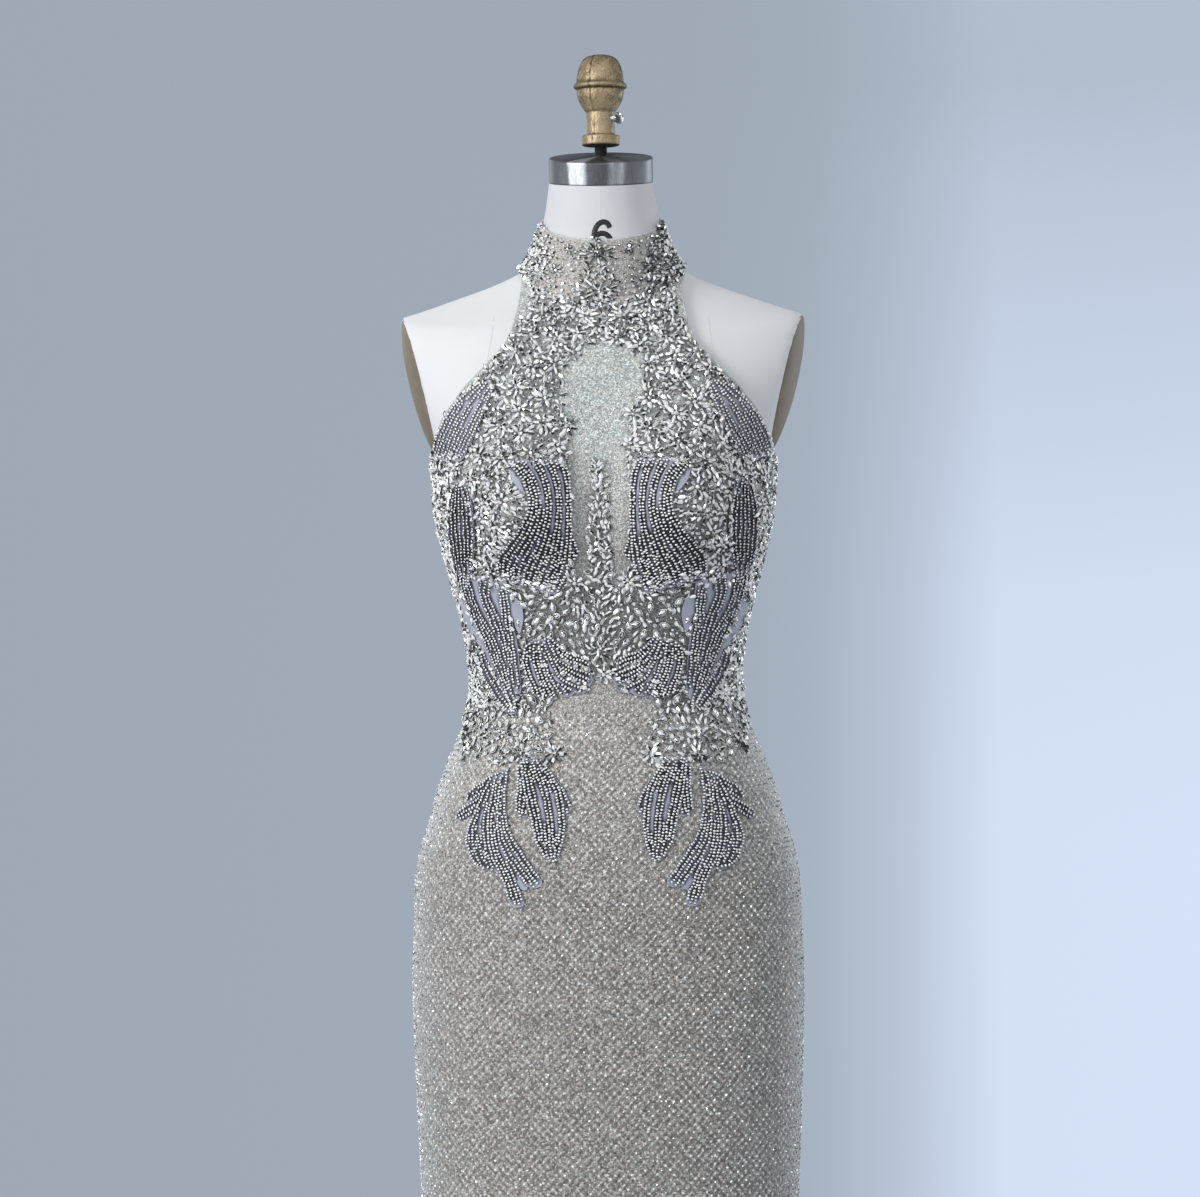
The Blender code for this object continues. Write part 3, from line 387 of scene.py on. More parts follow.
def fan(n, start=0):
    """Triangles that fill a ring of n points."""
    return start + np.array([(0, a, a + 1) for a in range(1, n - 1)])


def cone(n, start, tip, down=False):
    """Triangles from a ring of n points to a tip."""
    i = np.arange(n)
    faces = np.stack([start + i, start + (i + 1) % n, np.full(n, tip)], axis=-1)
    return faces[:, ::-1] if down else faces


def wall_mesh(phi, z, inner, outer):
    """Points and faces of a closed cloth wall between two offsets of the skin."""
    rows, cols = phi.shape
    points = np.concatenate([skin(phi, z, outer).reshape(-1, 3), skin(phi, z, inner).reshape(-1, 3)])
    inside = rows * cols
    front = grid_faces(rows, cols)
    border = np.concatenate([np.arange(cols), np.arange(1, rows) * cols + cols - 1,
                             (rows - 1) * cols + np.arange(cols - 2, -1, -1), np.arange(rows - 2, 0, -1) * cols])
    after = np.roll(border, -1)
    rim = np.stack([after, border, inside + border, inside + after], axis=-1)
    return points, np.concatenate([front, inside + front[:, ::-1], rim])


def join(parts):
    """Several (points, faces) as one."""
    starts = np.cumsum([0, *[len(p) for p, _ in parts]])
    return np.concatenate([p for p, _ in parts]), np.concatenate([f + n for (_, f), n in zip(parts, starts)])


def turned(profile, segments, ripple=None):
    """Points and faces of (radius, height) pairs turned about Z; the first and last lie on the axis."""
    profile = np.asarray(profile, float)
    turn = np.linspace(0, 2 * pi, segments, endpoint=False)
    ring = profile[1:-1]
    radius, height = (ring[:, k, None] * np.ones(segments) for k in (0, 1))
    if ripple is not None:
        radius = radius + ripple(turn[None, :], height)
    points = np.stack([radius * np.cos(turn), radius * np.sin(turn), height], axis=-1).reshape(-1, 3)
    tip = len(points)
    points = np.concatenate([points, [[0, 0, profile[0, 1]], [0, 0, profile[-1, 1]]]])
    return points, [grid_faces(len(ring), segments, around=True)[:, ::-1], cone(segments, 0, tip),
                    cone(segments, tip - segments, tip + 1, down=True)]


def sweep(places, outs, profile, closed=False):
    """Points and faces of a profile of (side, out) pairs, mm, carried along a path that lies on a surface."""
    places, profile = np.asarray(places, float), np.asarray(profile, float)
    if closed:
        along = np.roll(places, -1, axis=0) - np.roll(places, 1, axis=0)
    else:
        along = np.gradient(places, axis=0)
    side = unit(np.cross(along, outs))
    ring = (places[:, None] + side[:, None] * profile[None, :, 0, None] + outs[:, None] * profile[None, :, 1, None])
    n, m = ring.shape[:2]
    i, j = np.meshgrid(np.arange(n if closed else n - 1), np.arange(m), indexing="ij")
    k, l = (i + 1) % n, (j + 1) % m
    quads = np.stack([i * m + j, i * m + l, k * m + l, k * m + j], axis=-1).reshape(-1, 4)
    if not closed:
        # End caps as quads fanned from the profile's first point; profiles have an even number of points.
        caps = np.array([(0, a, a + 1, a + 2) for a in range(1, m - 2, 2)])
        quads = np.concatenate([quads, caps[:, ::-1], (n - 1) * m + caps])
    return ring.reshape(-1, 3), quads


def sweep_on(phi, z, out, profile, closed=False):
    """A profile carried along a line of the skin, so far out of it."""
    return sweep(skin(phi, z, out), surface(phi, z)[3], profile, closed)


def transform(points, matrix):
    """Points in mm under a matrix whose translation is in mm."""
    m = np.array(matrix)
    return points @ m[:3, :3].T + m[:3, 3]


def nearest(points):
    """A tree that finds the nearest of the points."""
    tree = KDTree(len(points))
    for index, point in enumerate(points):
        tree.insert(point, index)
    tree.balance()
    return tree


# ---------------------------------------------------------------- small templates, unit sized
# A small mesh one unit in half length, and its faces in groups, each with a tone added to its tint.  The tones are
# painted light: tops and crowns lighter as painted highlights, sides and feet darker as painted shade.
Template = namedtuple("Template", "points faces")


def ring_outline(n):
    """Points of a ring of radius 1."""
    angles = 2 * pi * np.arange(n) / n
    return np.column_stack([np.cos(angles), np.sin(angles)])


def stacked(outline, rings):
    """Points of an outline at each (size, height)."""
    return np.concatenate([np.column_stack([np.asarray(outline, float) * r, np.full(len(outline), h)])
                           for r, h, *_ in rings])


def faceted(outline, table):
    """A cut stone one unit half long: a flat foot at 0, sloping sides, and a table at 1."""
    n = len(outline)
    return Template(stacked(outline, [(1.0, 0.0), (table, 1.0)]),
                    [(grid_faces(2, n, around=True), -0.12), (fan(n)[:, ::-1], -0.7), (fan(n, n), 0.12)])


def ridged(outline, ridge=0.45, girdle=0.3):
    """A cut stone of a six-sided outline with a ridge along it, painted lighter on one side of the ridge and darker on
    the other, as if lit from one side.
    """
    n = len(outline)
    front, back = 2 * n, 2 * n + 1
    points = np.concatenate([stacked(outline, [(1, 0.0), (1, girdle)]), [(ridge, 0, 1), (-ridge, 0, 1)]])
    ends = np.array([(n, n + 1, front), (n + 2, n + 3, back), (n + 3, n + 4, back), (n + 5, n, front)])
    return Template(points, [(grid_faces(2, n, around=True), -0.25), (np.array([(n + 1, n + 2, back, front)]), 0.2),
                             (np.array([(n + 4, n + 5, front, back)]), -0.22), (ends, 0.0), (fan(n)[:, ::-1], -0.7)])


def domed(n, rings, crown_highlight):
    """A bead: a low-poly ball of (radius, height, tone below) rings and a crown, whose tone is a painted highlight; the
    lower tones are painted shade.
    """
    top = (len(rings) - 1) * n
    faces = [(grid_faces(2, n, k * n, around=True), rings[k + 1][2]) for k in range(len(rings) - 1)]
    return Template(np.concatenate([stacked(ring_outline(n), rings), [[0, 0, 1.0]]]),
                    [*faces, (cone(n, top, top + n), crown_highlight), (fan(n)[:, ::-1], -0.6)])


def rimmed(*rings, n=10, point=0.25):
    """An almond-shaped stone in a rim: (radius, height, tone of the faces above) of each ring from the foot up."""
    outline = ring_outline(n) * np.column_stack([np.ones(n), 1 - point * np.abs(ring_outline(n)[:, 0])])
    faces = [(grid_faces(2, n, n * k, around=True), tone) for k, (_, _, tone) in enumerate(rings[:-1])]
    return Template(stacked(outline, rings), [*faces, (fan(n, n * (len(rings) - 1)), rings[-1][2])])


def toned(template, change):
    """The same small mesh with every face's tone changed."""
    return Template(template.points, [(faces, tone + change) for faces, tone in template.faces])


MARQUISE = ridged([(1, 0), (0.42, 0.78), (-0.42, 0.78), (-1, 0), (-0.42, -0.78), (0.42, -0.78)])
TEARDROP = ridged([(1, 0), (0.25, 0.70), (-0.55, 0.80), (-1, 0), (-0.55, -0.80), (0.25, -0.70)])
ROUND = faceted(ring_outline(6), 0.55)
# A small stone in a pale rim, and a larger one with a wide gap inside its rim, painted dark as shade.
RIMMED = rimmed((1.0, 0.0, -0.5), (1.0, 0.5, 0.4), (0.84, 0.55, -0.8), (0.66, 0.3, 0.05), (0.36, 1.0, 0.2))
FRAMED = rimmed((1.0, 0.0, -0.5), (1.0, 0.5, 0.2), (0.90, 0.55, -0.7), (0.84, 0.2, -0.4), (0.72, 0.2, -0.3),
                (0.66, 0.7, 0.0), (0.30, 1.0, 0.15), n=12, point=0.45)
BEAD = domed(6, ((1.0, -0.45, 0), (0.84, 0.6, -0.45)), 0.62)
SPARK = Template(np.array([(1, 0, 0), (0, 1, 0), (-1, 0, 0), (0, -1, 0), (0, 0, 1), (0, 0, -0.8)], float),
                 [(cone(4, 0, 4), 0.0), (cone(4, 0, 5, down=True), -0.4)])
# The same bead painted white all over, as a painted glint.
SPARKLE = Template(SPARK.points, [(faces, 0.9) for faces, _ in SPARK.faces])


def spread(template, places, axes, sizes):
    """The template at each place: axes are rows along, across and out, and sizes are along each."""
    points = places[:, None] + np.einsum("vk,nk,nkd->nvd", template.points, sizes, axes)
    shift = (np.arange(len(places)) * len(template.points))[:, None, None]
    return points.reshape(-1, 3), [((f[None] + shift).reshape(-1, f.shape[1]), tone) for f, tone in template.faces]


def scattered(name, groups, material, rng, smooth, slot, change=1.0):
    """One piece from several (template, places, axes, sizes) groups.  A face's tint is its stone's own
    value, a random change from face to face that paints glints and dark reflections on the facets, and the tone of its
    kind of face, which is painted highlight or shade."""
    points, faces, tints, count = [], [], [], 0
    for template, places, axes, sizes in groups:
        if not len(places):
            continue
        own = rng.random(len(places))
        made, shapes = spread(template, places, axes, sizes)
        points.append(made)
        for shape, tone in shapes:
            faces.append(shape + count)
            each = np.repeat(own, len(shape) // len(places)) * (1 - 0.5 * change)
            tints.append(np.clip(each + change * 0.75 * (rng.random(len(shape)) - 0.15) + tone, 0, 1))
        count += len(made)
    # Faces of one size are kept together.
    order = sorted(range(len(faces)), key=lambda k: faces[k].shape[1])
    return build(name, np.concatenate(points), [faces[k] for k in order], material, smooth=smooth,
                 tints=np.concatenate([tints[k] for k in order]), slot=slot)


def sown(name, at, size, angle, out, finish, rng, smooth, slot, change, lean=None):
    """One piece of small beads at turns and section heights of the skin."""
    spots, axes = seated(*at, angle, lean, out)
    scattered(name, [(SPARK, spots, axes, np.repeat(size[:, None], 3, axis=1))], finish, rng, smooth, slot, change)


def seated(phi, z, angle, lean=None, lift=0.0):
    """Places so far off the skin, and axes of what lies there: turned by angle from around towards up, and
    leaning a little."""
    points, around, up, normal = surface(phi, z)
    along, out = around * np.cos(angle)[:, None] + up * np.sin(angle)[:, None], normal
    if lean is not None:
        out = unit(out + lean[:, :1] * around + lean[:, 1:] * up)
        along = unit(along - out * np.sum(along * out, axis=1, keepdims=True))
    return points + normal * np.reshape(lift, (-1, 1)), np.stack([along, np.cross(out, along), out], axis=1)


def beside(phi, z, across, up):
    """Places on the skin, so many mm around and up from given ones."""
    nudge = 1e-3
    around = np.linalg.norm(base_skin(phi + nudge, z) - base_skin(phi - nudge, z), axis=-1) / (2 * nudge)
    rise = np.linalg.norm(base_skin(phi, z + 0.5) - base_skin(phi, z - 0.5), axis=-1)
    return phi + across / around, z + up / rise


def strayed(rng, phi, z):
    """The same places, each moved a little at random."""
    return beside(phi, z, rng.normal(0, 0.3, len(phi)), rng.normal(0, 0.3, len(phi)))


def drawn(rng, count, *spans):
    """Random numbers, a row for each (low, high)."""
    return np.array([rng.uniform(low, high, count) for low, high in spans])


def blooms(phi, z, petals, radius, turn, squat=1.0):
    """Places and angles of petals set round each given centre, on circles or on lower ovals."""
    angle = turn[:, None] + 2 * pi * np.arange(petals) / petals
    across, up = radius[:, None] * np.cos(angle), radius[:, None] * np.sin(angle) * squat
    at, level = beside(phi[:, None], z[:, None], across, up)
    return np.array([at.ravel(), level.ravel(), np.arctan2(up, across).ravel()])


def as_seen(x, height, angle):
    """Turn, section height and angle on the skin of a thing placed and turned as the front is seen."""
    phi, z = on_front(np.array([x]), np.array([height]))
    return float(phi[0]), float(z[0]), pi - angle


def front_point(x, height):
    """The point of the skin at this place of the front."""
    return base_skin(*on_front(np.array([x]), np.array([height])))[0]


def along_ring(phi, z):
    """How far points lie round the body from its centre-front or centre-back line, mm."""
    middle = np.where(np.sin(phi) >= 0, pi / 2, 1.5 * pi)
    share = np.linspace(0, 1, 33).reshape(-1, *[1] * np.ndim(phi))
    ring = base_skin(middle + (phi - middle) * share, np.broadcast_to(z, (33, *np.shape(phi))))
    return np.sign(phi - middle) * np.linalg.norm(np.diff(ring, axis=0), axis=-1).sum(axis=0)


def lattice(low, high, across, rise):
    """Turns and section heights of an even lattice round the body, with every other row moved half a step."""
    found = []
    for row in range(math.ceil(2 * low / rise), math.floor(2 * high / rise) + 1):
        for start in (0.0, pi):
            turns = np.linspace(start, start + pi, 361)
            length = lengths(base_skin(turns, np.full_like(turns, row * rise / 2)))
            reach = length[-1] / 2
            at = (np.arange(-int(reach / across) - 1, int(reach / across) + 1) + 0.5 * (row % 2)) * across
            at = at[np.abs(at) < reach - 0.3 * across]
            found.append(np.column_stack([np.interp(at + reach, length, turns), np.full(len(at), row * rise / 2)]))
    return np.concatenate(found).T


def keep_apart(points, gaps, taken=(), taken_gap=3.0):
    """Indices of points kept in turn, each at least its gap from those kept before and from taken points.  Where
    taken_gap is below zero, it is the whole distance from taken points, whatever the gap."""
    gaps = np.broadcast_to(gaps, len(points))
    cell = float(max(np.max(gaps), abs(taken_gap)))
    cells, kept = {}, []

    def home(p):
        return tuple(int(v // cell) for v in p)

    def place(p, gap):
        cells.setdefault(home(p), []).append((p, gap))

    def clear(p, gap):
        a, b, c = home(p)
        for around in product((a - 1, a, a + 1), (b - 1, b, b + 1), (c - 1, c, c + 1)):
            for q, other in cells.get(around, ()):
                need = -other if other < 0 else (gap + other) / 2
                if (p[0] - q[0]) ** 2 + (p[1] - q[1]) ** 2 + (p[2] - q[2]) ** 2 < need * need:
                    return False
        return True

    for p in taken:
        place(tuple(p), taken_gap)
    for index, (p, gap) in enumerate(zip(map(tuple, points), gaps)):
        if clear(p, gap):
            place(p, gap)
            kept.append(index)
    return np.array(kept, int)


def spaced(at, gap, **taken):
    """Those columns of (turn, section height, ...) that keep_apart keeps."""
    return at[:, keep_apart(base_skin(*at[:2]), gap, **taken)]


# ---------------------------------------------------------------- where things lie on the front
def true_place(phi, z):
    """Distance from the middle, depth and true height of points of the skin, mm."""
    return np.moveaxis(base_skin(phi, z), -1, 0)


def patch_curves(patch, count=48):
    return through(patch.left, count), through(patch.right, count)


def patch_line(left, right, share, tip):
    """One line along the patch.  Its ends reach out to rounded scallops, or the far one to a rounded tip."""
    line = left * (1 - share) + right * share
    for end, step in ((0, 1), (-1, -1)):
        way = unit(line[end] - line[end + step])
        if tip and end:
            reach = 0.05 + tip * math.sqrt(max(1 - (2 * share - 1) ** 2, 0))
        else:
            lobes = max(round(np.linalg.norm(left[end] - right[end]) / LOBE), 1)
            reach = SCALLOP * (0.03 + 0.97 * np.abs(np.sin(pi * lobes * share)) ** 0.7)
        line = np.insert(line, 0 if end == 0 else len(line), line[end] + way * reach, axis=0)
    return line


def patch_rows(patch, pitch, apart, slits=()):
    """Beads along the rows of a patch: distance from centre, height and the row's direction."""
    left, right = patch_curves(patch)
    width = np.percentile(np.linalg.norm(left - right, axis=1), 45)
    rows = max(int(round(width / apart)) + 1, 2)
    shares = np.linspace(0, 1, rows)
    order = [0, rows - 1, *range(1, rows - 1)]
    between = (shares[:-1] + shares[1:]) / 2
    found = []
    for number, share in enumerate([*shares[order], *between]):
        line = patch_line(left, right, share, patch.tip)
        length, way = lengths(line), unit(np.gradient(line, axis=0))
        line = line + (ROW_WAVER * np.sin(length * 0.42 + 2.4 * number))[:, None] * way[:, ::-1] * (1, -1)
        at = np.arange(pitch * 0.4, length[-1], pitch)
        for across, start, end in slits:
            if abs(share - across) < 0.42 * apart / width:
                at = at[(at < start * length[-1]) | (at > end * length[-1])]
        turn = np.unwrap(np.arctan2(way[:, 1], way[:, 0]))
        found.append(along_line(at, length, (line[:, 0], line[:, 1], turn)))
    return np.concatenate(found)


def leaf_layout(pitch, apart):
    """Beads of every leaf on the left, one array each."""
    layout = {}
    for name, patches in LEAVES.items():
        flat = np.concatenate([patch_rows(p, pitch, apart, [slit[2:] for slit in SLITS if slit[:2] == (name, k)])
                               for k, p in enumerate(patches)])
        layout[name] = flat[keep_apart(flat * (1, 1, 0), pitch * 0.88, taken_gap=1.0)]
    return layout


def blocked_places(trim):
    """Points of the skin that leaves cover, mm, less a strip inside their edge that other things may overlap.
    Where there is a strip it is wider, and ragged, at their two ends."""
    found = []
    for patches in [*LEAVES.values(), [STEM_GROUND], *BARE.values()]:
        for number, patch in enumerate(patches):
            left, right = patch_curves(patch)
            width = np.linalg.norm(left - right, axis=1)[:, None, None]
            inset = np.clip(trim / np.maximum(width, 0.1), 0, 0.5)
            share = inset + np.linspace(0, 1, 14)[None, :, None] * (1 - 2 * inset)
            length = np.linalg.norm(np.diff((left + right) / 2, axis=0), axis=1).sum()
            skip = int(round(48 * trim / length))
            inner = (left[:, None] * (1 - share) + right[:, None] * share)[skip:48 - skip]
            if trim:
                end = np.minimum(np.arange(len(inner)), np.arange(len(inner))[::-1])[:, None] * length / 48
                inner = inner[end > min(3.4, 0.07 * length) * (1 + np.sin(np.arange(14) * 1.7 + number))]
            found.append(inner.reshape(-1, 2))
    flat = np.concatenate(found)
    flat = flat[keep_apart(np.column_stack([flat, np.zeros(len(flat))]), 1.5, taken_gap=1.0)]
    both = np.concatenate([flat, flat * (-1, 1)])
    return base_skin(*on_front(both[:, 0], both[:, 1]))

# The bare net at the chest, from its arch down to the channels beside the centre spray: height, and how far
# it reaches to the left and to the right.
KEYHOLE = np.array([(1173, 0, 0), (1177, 14, 14), (1186, 23, 23), (1200, 26.5, 26.5), (1218, 27, 27), (1246, 27.5, 27),
                    (1270, 28, 25.5), (1290, 27, 23), (1306, 29.5, 25), (1327, 31, 30), (1347, 34, 36), (1368, 32, 38),
                    (1380, 26, 33), (1387, 17, 24), (1391, 7, 12), (1392.5, 0, 0)])
# Half-width of the centre spray, from its foot up to its tip, and its middle.
SPRAY = np.array([(1100, 0.5), (1108, 10), (1120, 13), (1150, 14), (1176, 13), (1190, 11.5), (1215, 10), (1240, 9),
                  (1265, 7), (1284, 4), (1290, 0)])
SPRAY_MIDDLE = -2.0


def width_at(table, height, column=1):
    return np.interp(height, table[:, 0], table[:, column], left=0.0, right=0.0)


# ---------------------------------------------------------------- shader helpers
class Wire:
    """An output of a shader node.  Sums of wires and numbers add Math nodes to the same tree."""

    def __init__(self, socket):
        self.socket, self.tree = socket, socket.id_data


for sign, operation in (("add", "ADD"), ("sub", "SUBTRACT"), ("mul", "MULTIPLY"), ("truediv", "DIVIDE"),
                        ("pow", "POWER")):
    setattr(Wire, f"__{sign}__", lambda a, b, operation=operation: maths(operation, a, b))
    setattr(Wire, f"__r{sign}__", lambda b, a, operation=operation: maths(operation, a, b))


def feed(socket, value):
    """Links a wire to a socket, or sets it to a number or colour."""
    if isinstance(value, Wire):
        value.tree.links.new(value.socket, socket)
    elif socket.type == "RGBA" and hasattr(value, "__len__") and len(value) == 3:
        socket.default_value = (*value, 1)
    else:
        socket.default_value = value


def node(tree, kind, inputs=None, out=0, **settings):
    """A wire from one output of a new node, whose inputs are wires, numbers or colours."""
    made = tree.nodes.new("ShaderNode" + kind)
    for key, value in settings.items():
        setattr(made, key, value)
    for key, value in (inputs or {}).items():
        feed(made.inputs[key], value)
    return Wire(made.outputs[out])


def tree_of(*values):
    return next(value.tree for value in values if isinstance(value, Wire))


def maths(operation, a, b=0.0, clamp=False):
    return node(tree_of(a, b), "Math", {0: a, 1: b}, operation=operation, use_clamp=clamp)


def mixed(factor, a, b, blend="MIX"):
    return node(tree_of(factor, a, b), "Mix", {0: factor, 6: a, 7: b}, 2, data_type="RGBA", blend_type=blend)


def times(a, b):
    """Two colours multiplied."""
    return mixed(1.0, a, b, "MULTIPLY")


def ramp(factor, stops, constant=False):
    made = node(factor.tree, "ValToRGB", {0: factor})
    colours = made.socket.node.color_ramp
    colours.interpolation = "CONSTANT" if constant else "LINEAR"
    while len(colours.elements) < len(stops):
        colours.elements.new(0.5)
    for element, (position, colour) in zip(colours.elements, stops):
        element.position = position
        element.color = (*colour, 1) if hasattr(colour, "__len__") else (colour, colour, colour, 1)
    return made


def bump(height, distance, strength=1.0):
    return node(height.tree, "Bump", {"Height": height, "Distance": distance, "Strength": strength})


def place(tree):
    return node(tree, "TexCoord", out="Object")


def axis(where, name):
    return node(where.tree, "SeparateXYZ", {0: where}, name)


def noise(where, scale, detail, **more):
    return node(where.tree, "TexNoise", {"Vector": where, "Scale": scale, "Detail": detail, **more})


def kept_value(tree, name, out="Fac"):
    """What keep_values keeps under this name."""
    return node(tree, "Attribute", out=out, attribute_name=name)


def span(value, low, high):
    """0 to 1 as a value goes from low to high."""
    return node(value.tree, "MapRange", {"Value": value, "From Min": low, "From Max": high})


def facing(tree):
    return node(tree, "LayerWeight", {"Blend": 0.5}, "Facing")


def cell_tone(cells):
    """A random value for each cell of a Voronoi texture."""
    return node(cells.tree, "SeparateColor", {0: Wire(cells.socket.node.outputs["Color"])})


def cloth_grain(tree, threads, blotches):
    """Fine threads: a height for bump and a value that changes from place to place."""
    where = place(tree)
    across = node(tree, "TexWave", {"Vector": where, "Scale": threads, "Distortion": 1.2, "Detail": 1.0}, 1,
                  bands_direction="Z")
    return {"Height": across * 0.4 + noise(where, threads, 2.0) * 0.6, "Value": noise(where, blotches, 4.0)}


def bead_specks(tree, density, size):
    """Tiny beads sewn close together: a mask, a tone for each bead and a height."""
    cells = node(tree, "TexVoronoi", {"Vector": place(tree), "Scale": density})
    near = maths("SUBTRACT", 1.0, cells / size, clamp=True)
    return {"Mask": maths("MULTIPLY", near, 3.0, clamp=True), "Tone": cell_tone(cells), "Height": near ** 0.6}


def handling_wear(tree, scale, amount):
    """Uneven handling marks: a mask that is 1 in scuffed places."""
    marks = noise(place(tree), scale, 6.0, Roughness=0.65) - (0.85 - amount * 0.5)
    return {"Mask": maths("MULTIPLY", marks, 6.0, clamp=True)}


# Shared node groups: what fills each, and its inputs.
GROUPS = {"Cloth Grain": (cloth_grain, {"Threads": 1400.0, "Blotches": 14.0}),
          "Bead Specks": (bead_specks, {"Density": 500.0, "Size": 0.5}),
          "Handling Wear": (handling_wear, {"Scale": 60.0, "Amount": 0.5})}


def group(name):
    """The node group of this name, made once."""
    if name in bpy.data.node_groups:
        return bpy.data.node_groups[name]
    tree = bpy.data.node_groups.new(name, "ShaderNodeTree")
    fill, inputs = GROUPS[name]
    for label, value in inputs.items():
        socket = tree.interface.new_socket(name=label, in_out="INPUT", socket_type="NodeSocketFloat")
        socket.default_value = value
    given = tree.nodes.new("NodeGroupInput").outputs
    made = fill(tree, *(Wire(given[label]) for label in inputs))
    for label in made:
        tree.interface.new_socket(name=label, in_out="OUTPUT", socket_type="NodeSocketFloat")
    result = tree.nodes.new("NodeGroupOutput")
    for label, wire in made.items():
        feed(result.inputs[label], wire)
    return tree


def use(tree, name, **inputs):
    """The outputs of a node group placed in a tree."""
    placed = tree.nodes.new("ShaderNodeGroup")
    placed.node_tree = group(name)
    for key, value in inputs.items():
        feed(placed.inputs[key], value)
    return {output.name: Wire(output) for output in placed.outputs}


def finish(name, colour, feeds, metallic=0.0, roughness=0.5, **constants):
    """The material of this name, made once: a Principled shader with constants on its own sockets, fed by what
    `feeds` makes in its tree."""
    if f"{name}_look" in bpy.data.materials:
        return bpy.data.materials[f"{name}_look"]
    made = bpy.data.materials.new(f"{name}_look")
    made.use_nodes = True
    shader = made.node_tree.nodes["Principled BSDF"]
    for key, value in {"base_color": colour[:3], "metallic": metallic, "roughness": roughness, **constants}.items():
        feed(shader.inputs[key.replace("_", " ").title().replace("Ior", "IOR")], value)
    for key, wire in feeds(made.node_tree).items():
        feed(shader.inputs[key], wire)
    made.diffuse_color = (*colour[:3], 1)
    return made


def scaled(colour, factor):
    return tuple(c * factor for c in colour[:3])


def lattice_wave(tree):
    """1 at the knots of the skirt's lattice and -1 in the middle of its gaps."""
    parts = [axis(kept_value(tree, "net", "Vector"), name) for name in ("X", "Y")]
    across, up = (maths("COSINE", part * (2 * pi)) for part in parts)
    return across * up


def net_finish(name, cloth, contrast, edge_sheen, upper, rise=(0.0, 1.0), covered=0.0, woven=False, density=560.0):
    """Net sewn all over with tiny beads.  contrast is that of the pits between its threads, which are painted in shade.
    The edge sheen is how pale it is painted where it is seen edge on, and upper is its colour above the rise.
    A few beads are painted white as glints.  The stone shade is how dark it is painted between crystals, as
    shade, and woven deepens the painted shade of its pits in the skirt's lattice."""
    def feeds(tree):
        where = place(tree)
        ground = mixed(span(axis(where, "Z"), *rise), cloth, upper)
        fine = use(tree, "Bead Specks", Density=density, Size=0.62)
        big = use(tree, "Bead Specks", Density=250.0, Size=0.32)
        threads = use(tree, "Cloth Grain", Threads=1500.0, Blotches=30.0)
        steps = ((0.0, -0.75), (0.25, -0.5), (0.5, -0.08), (0.75, 0.3), (0.92, 0.65), (1.0, 1.0))
        tone = ramp(fine["Tone"], [(at, 0.5 + 0.5 * contrast * step) for at, step in steps])
        # Painted shade: darker in the pits between beads, and deeper in the gaps of the skirt's lattice when woven.
        light = tone * ((2.0 + 0.16 * contrast) - (1.0 - fine["Mask"]) * (0.8 * contrast))
        if woven:
            light = light * (0.98 + lattice_wave(tree) * 0.42)
        warm = ramp(noise(where, 170.0, 2.0), [(0.35, (0.97, 1.0, 1.0)), (0.65, (1.0, 0.955, 0.93))])
        ground = times(ground, warm)
        blotched = mixed(threads["Value"] * 0.35, times(ground, light), times(ground, (0.8,) * 3))
        # Painted glints: a few of the larger beads turn white.
        glint_mask = big["Mask"] * maths("GREATER_THAN", big["Tone"], 0.94)
        glinted = mixed(glint_mask, blotched, (1.0, 1.0, 1.0))
        # Painted sheen: the net turns pale where it is seen edge on.
        colour = mixed(facing(tree) ** 2.2 * edge_sheen, glinted, (0.66, 0.71, 0.76))
        if covered:
            # Painted shade: the net turns dark between crystals.
            colour = mixed(kept_value(tree, "covered") * covered, colour, (0.10, 0.105, 0.107))
        return {"Base Color": colour, "Roughness": 0.62 - fine["Mask"] * 0.2,
                "Normal": bump(big["Height"] * 1.2 + fine["Height"] * 0.8, 0.0007, 0.8)}

    return finish(name, cloth, feeds)


def tinted_finish(name, stops, metallic, roughness, **constants):
    """Stones or beads whose tone is read from the tint kept on each face."""
    def feeds(tree):
        tint = kept_value(tree, "tint")
        hues = ramp(noise(place(tree), 240.0, 1.0), [(0.3, (0.90, 0.93, 1.0)), (0.45, (1.0, 1.0, 1.0)),
                                                     (0.56, (1.0, 1.0, 1.0)), (0.72, (0.98, 0.95, 0.84))])
        limits = {"To Min": roughness * 1.5, "To Max": roughness * 0.7}
        return {"Base Color": times(ramp(tint, stops), hues),
                "Roughness": node(tree, "MapRange", {"Value": tint, **limits})}

    return finish(name, stops[len(stops) // 2][1], feeds, metallic, roughness, **constants)


# ---------------------------------------------------------------- what a user would change
def length_of(label, text, default):
    return bpy.props.FloatProperty(name=label, description=text, default=default, min=0.0001, unit="LENGTH",
                                   subtype="DISTANCE", precision=4)


def colour_of(label, text, default):
    return bpy.props.FloatVectorProperty(name=label, description=text, default=default, size=3, min=0.0, max=1.0,
                                         subtype="COLOR")


class GownSizes(bpy.types.PropertyGroup):
    """Sizes of the cloth, stones and beads."""
    cloth: length_of("Cloth", "Thickness of the beaded net", 0.0016)
    crystal_length: length_of("Crystal length", "Length of a common marquise crystal", 0.0081)
    crystal_width: length_of("Crystal width", "Width of a common marquise crystal", 0.0043)
    crystal_gap: length_of("Crystal gap", "Distance between the middles of neighbouring crystals", 0.0037)
    leaf_bead: length_of("Leaf bead", "Diameter of the beads in the leaf rows", 0.0027)
    leaf_pitch: length_of("Leaf bead pitch", "Distance between beads along a row", 0.0027)
    leaf_rows: length_of("Leaf row pitch", "Distance between rows of beads on a leaf", 0.0033)
    seed_bead: length_of("Seed bead", "Diameter of the small beads between crystals", 0.0014)
    net_bead: length_of("Net bead", "Diameter of the beads on the skirt", 0.0024)
    net_pitch: length_of("Net pitch", "Distance between beads of one row on the skirt", 0.0073)
    net_rise: length_of("Net rise", "Distance between rows that lie straight under each other", 0.0080)
    tooth_pitch: length_of("Tooth pitch", "Distance between zip teeth", 0.0016)


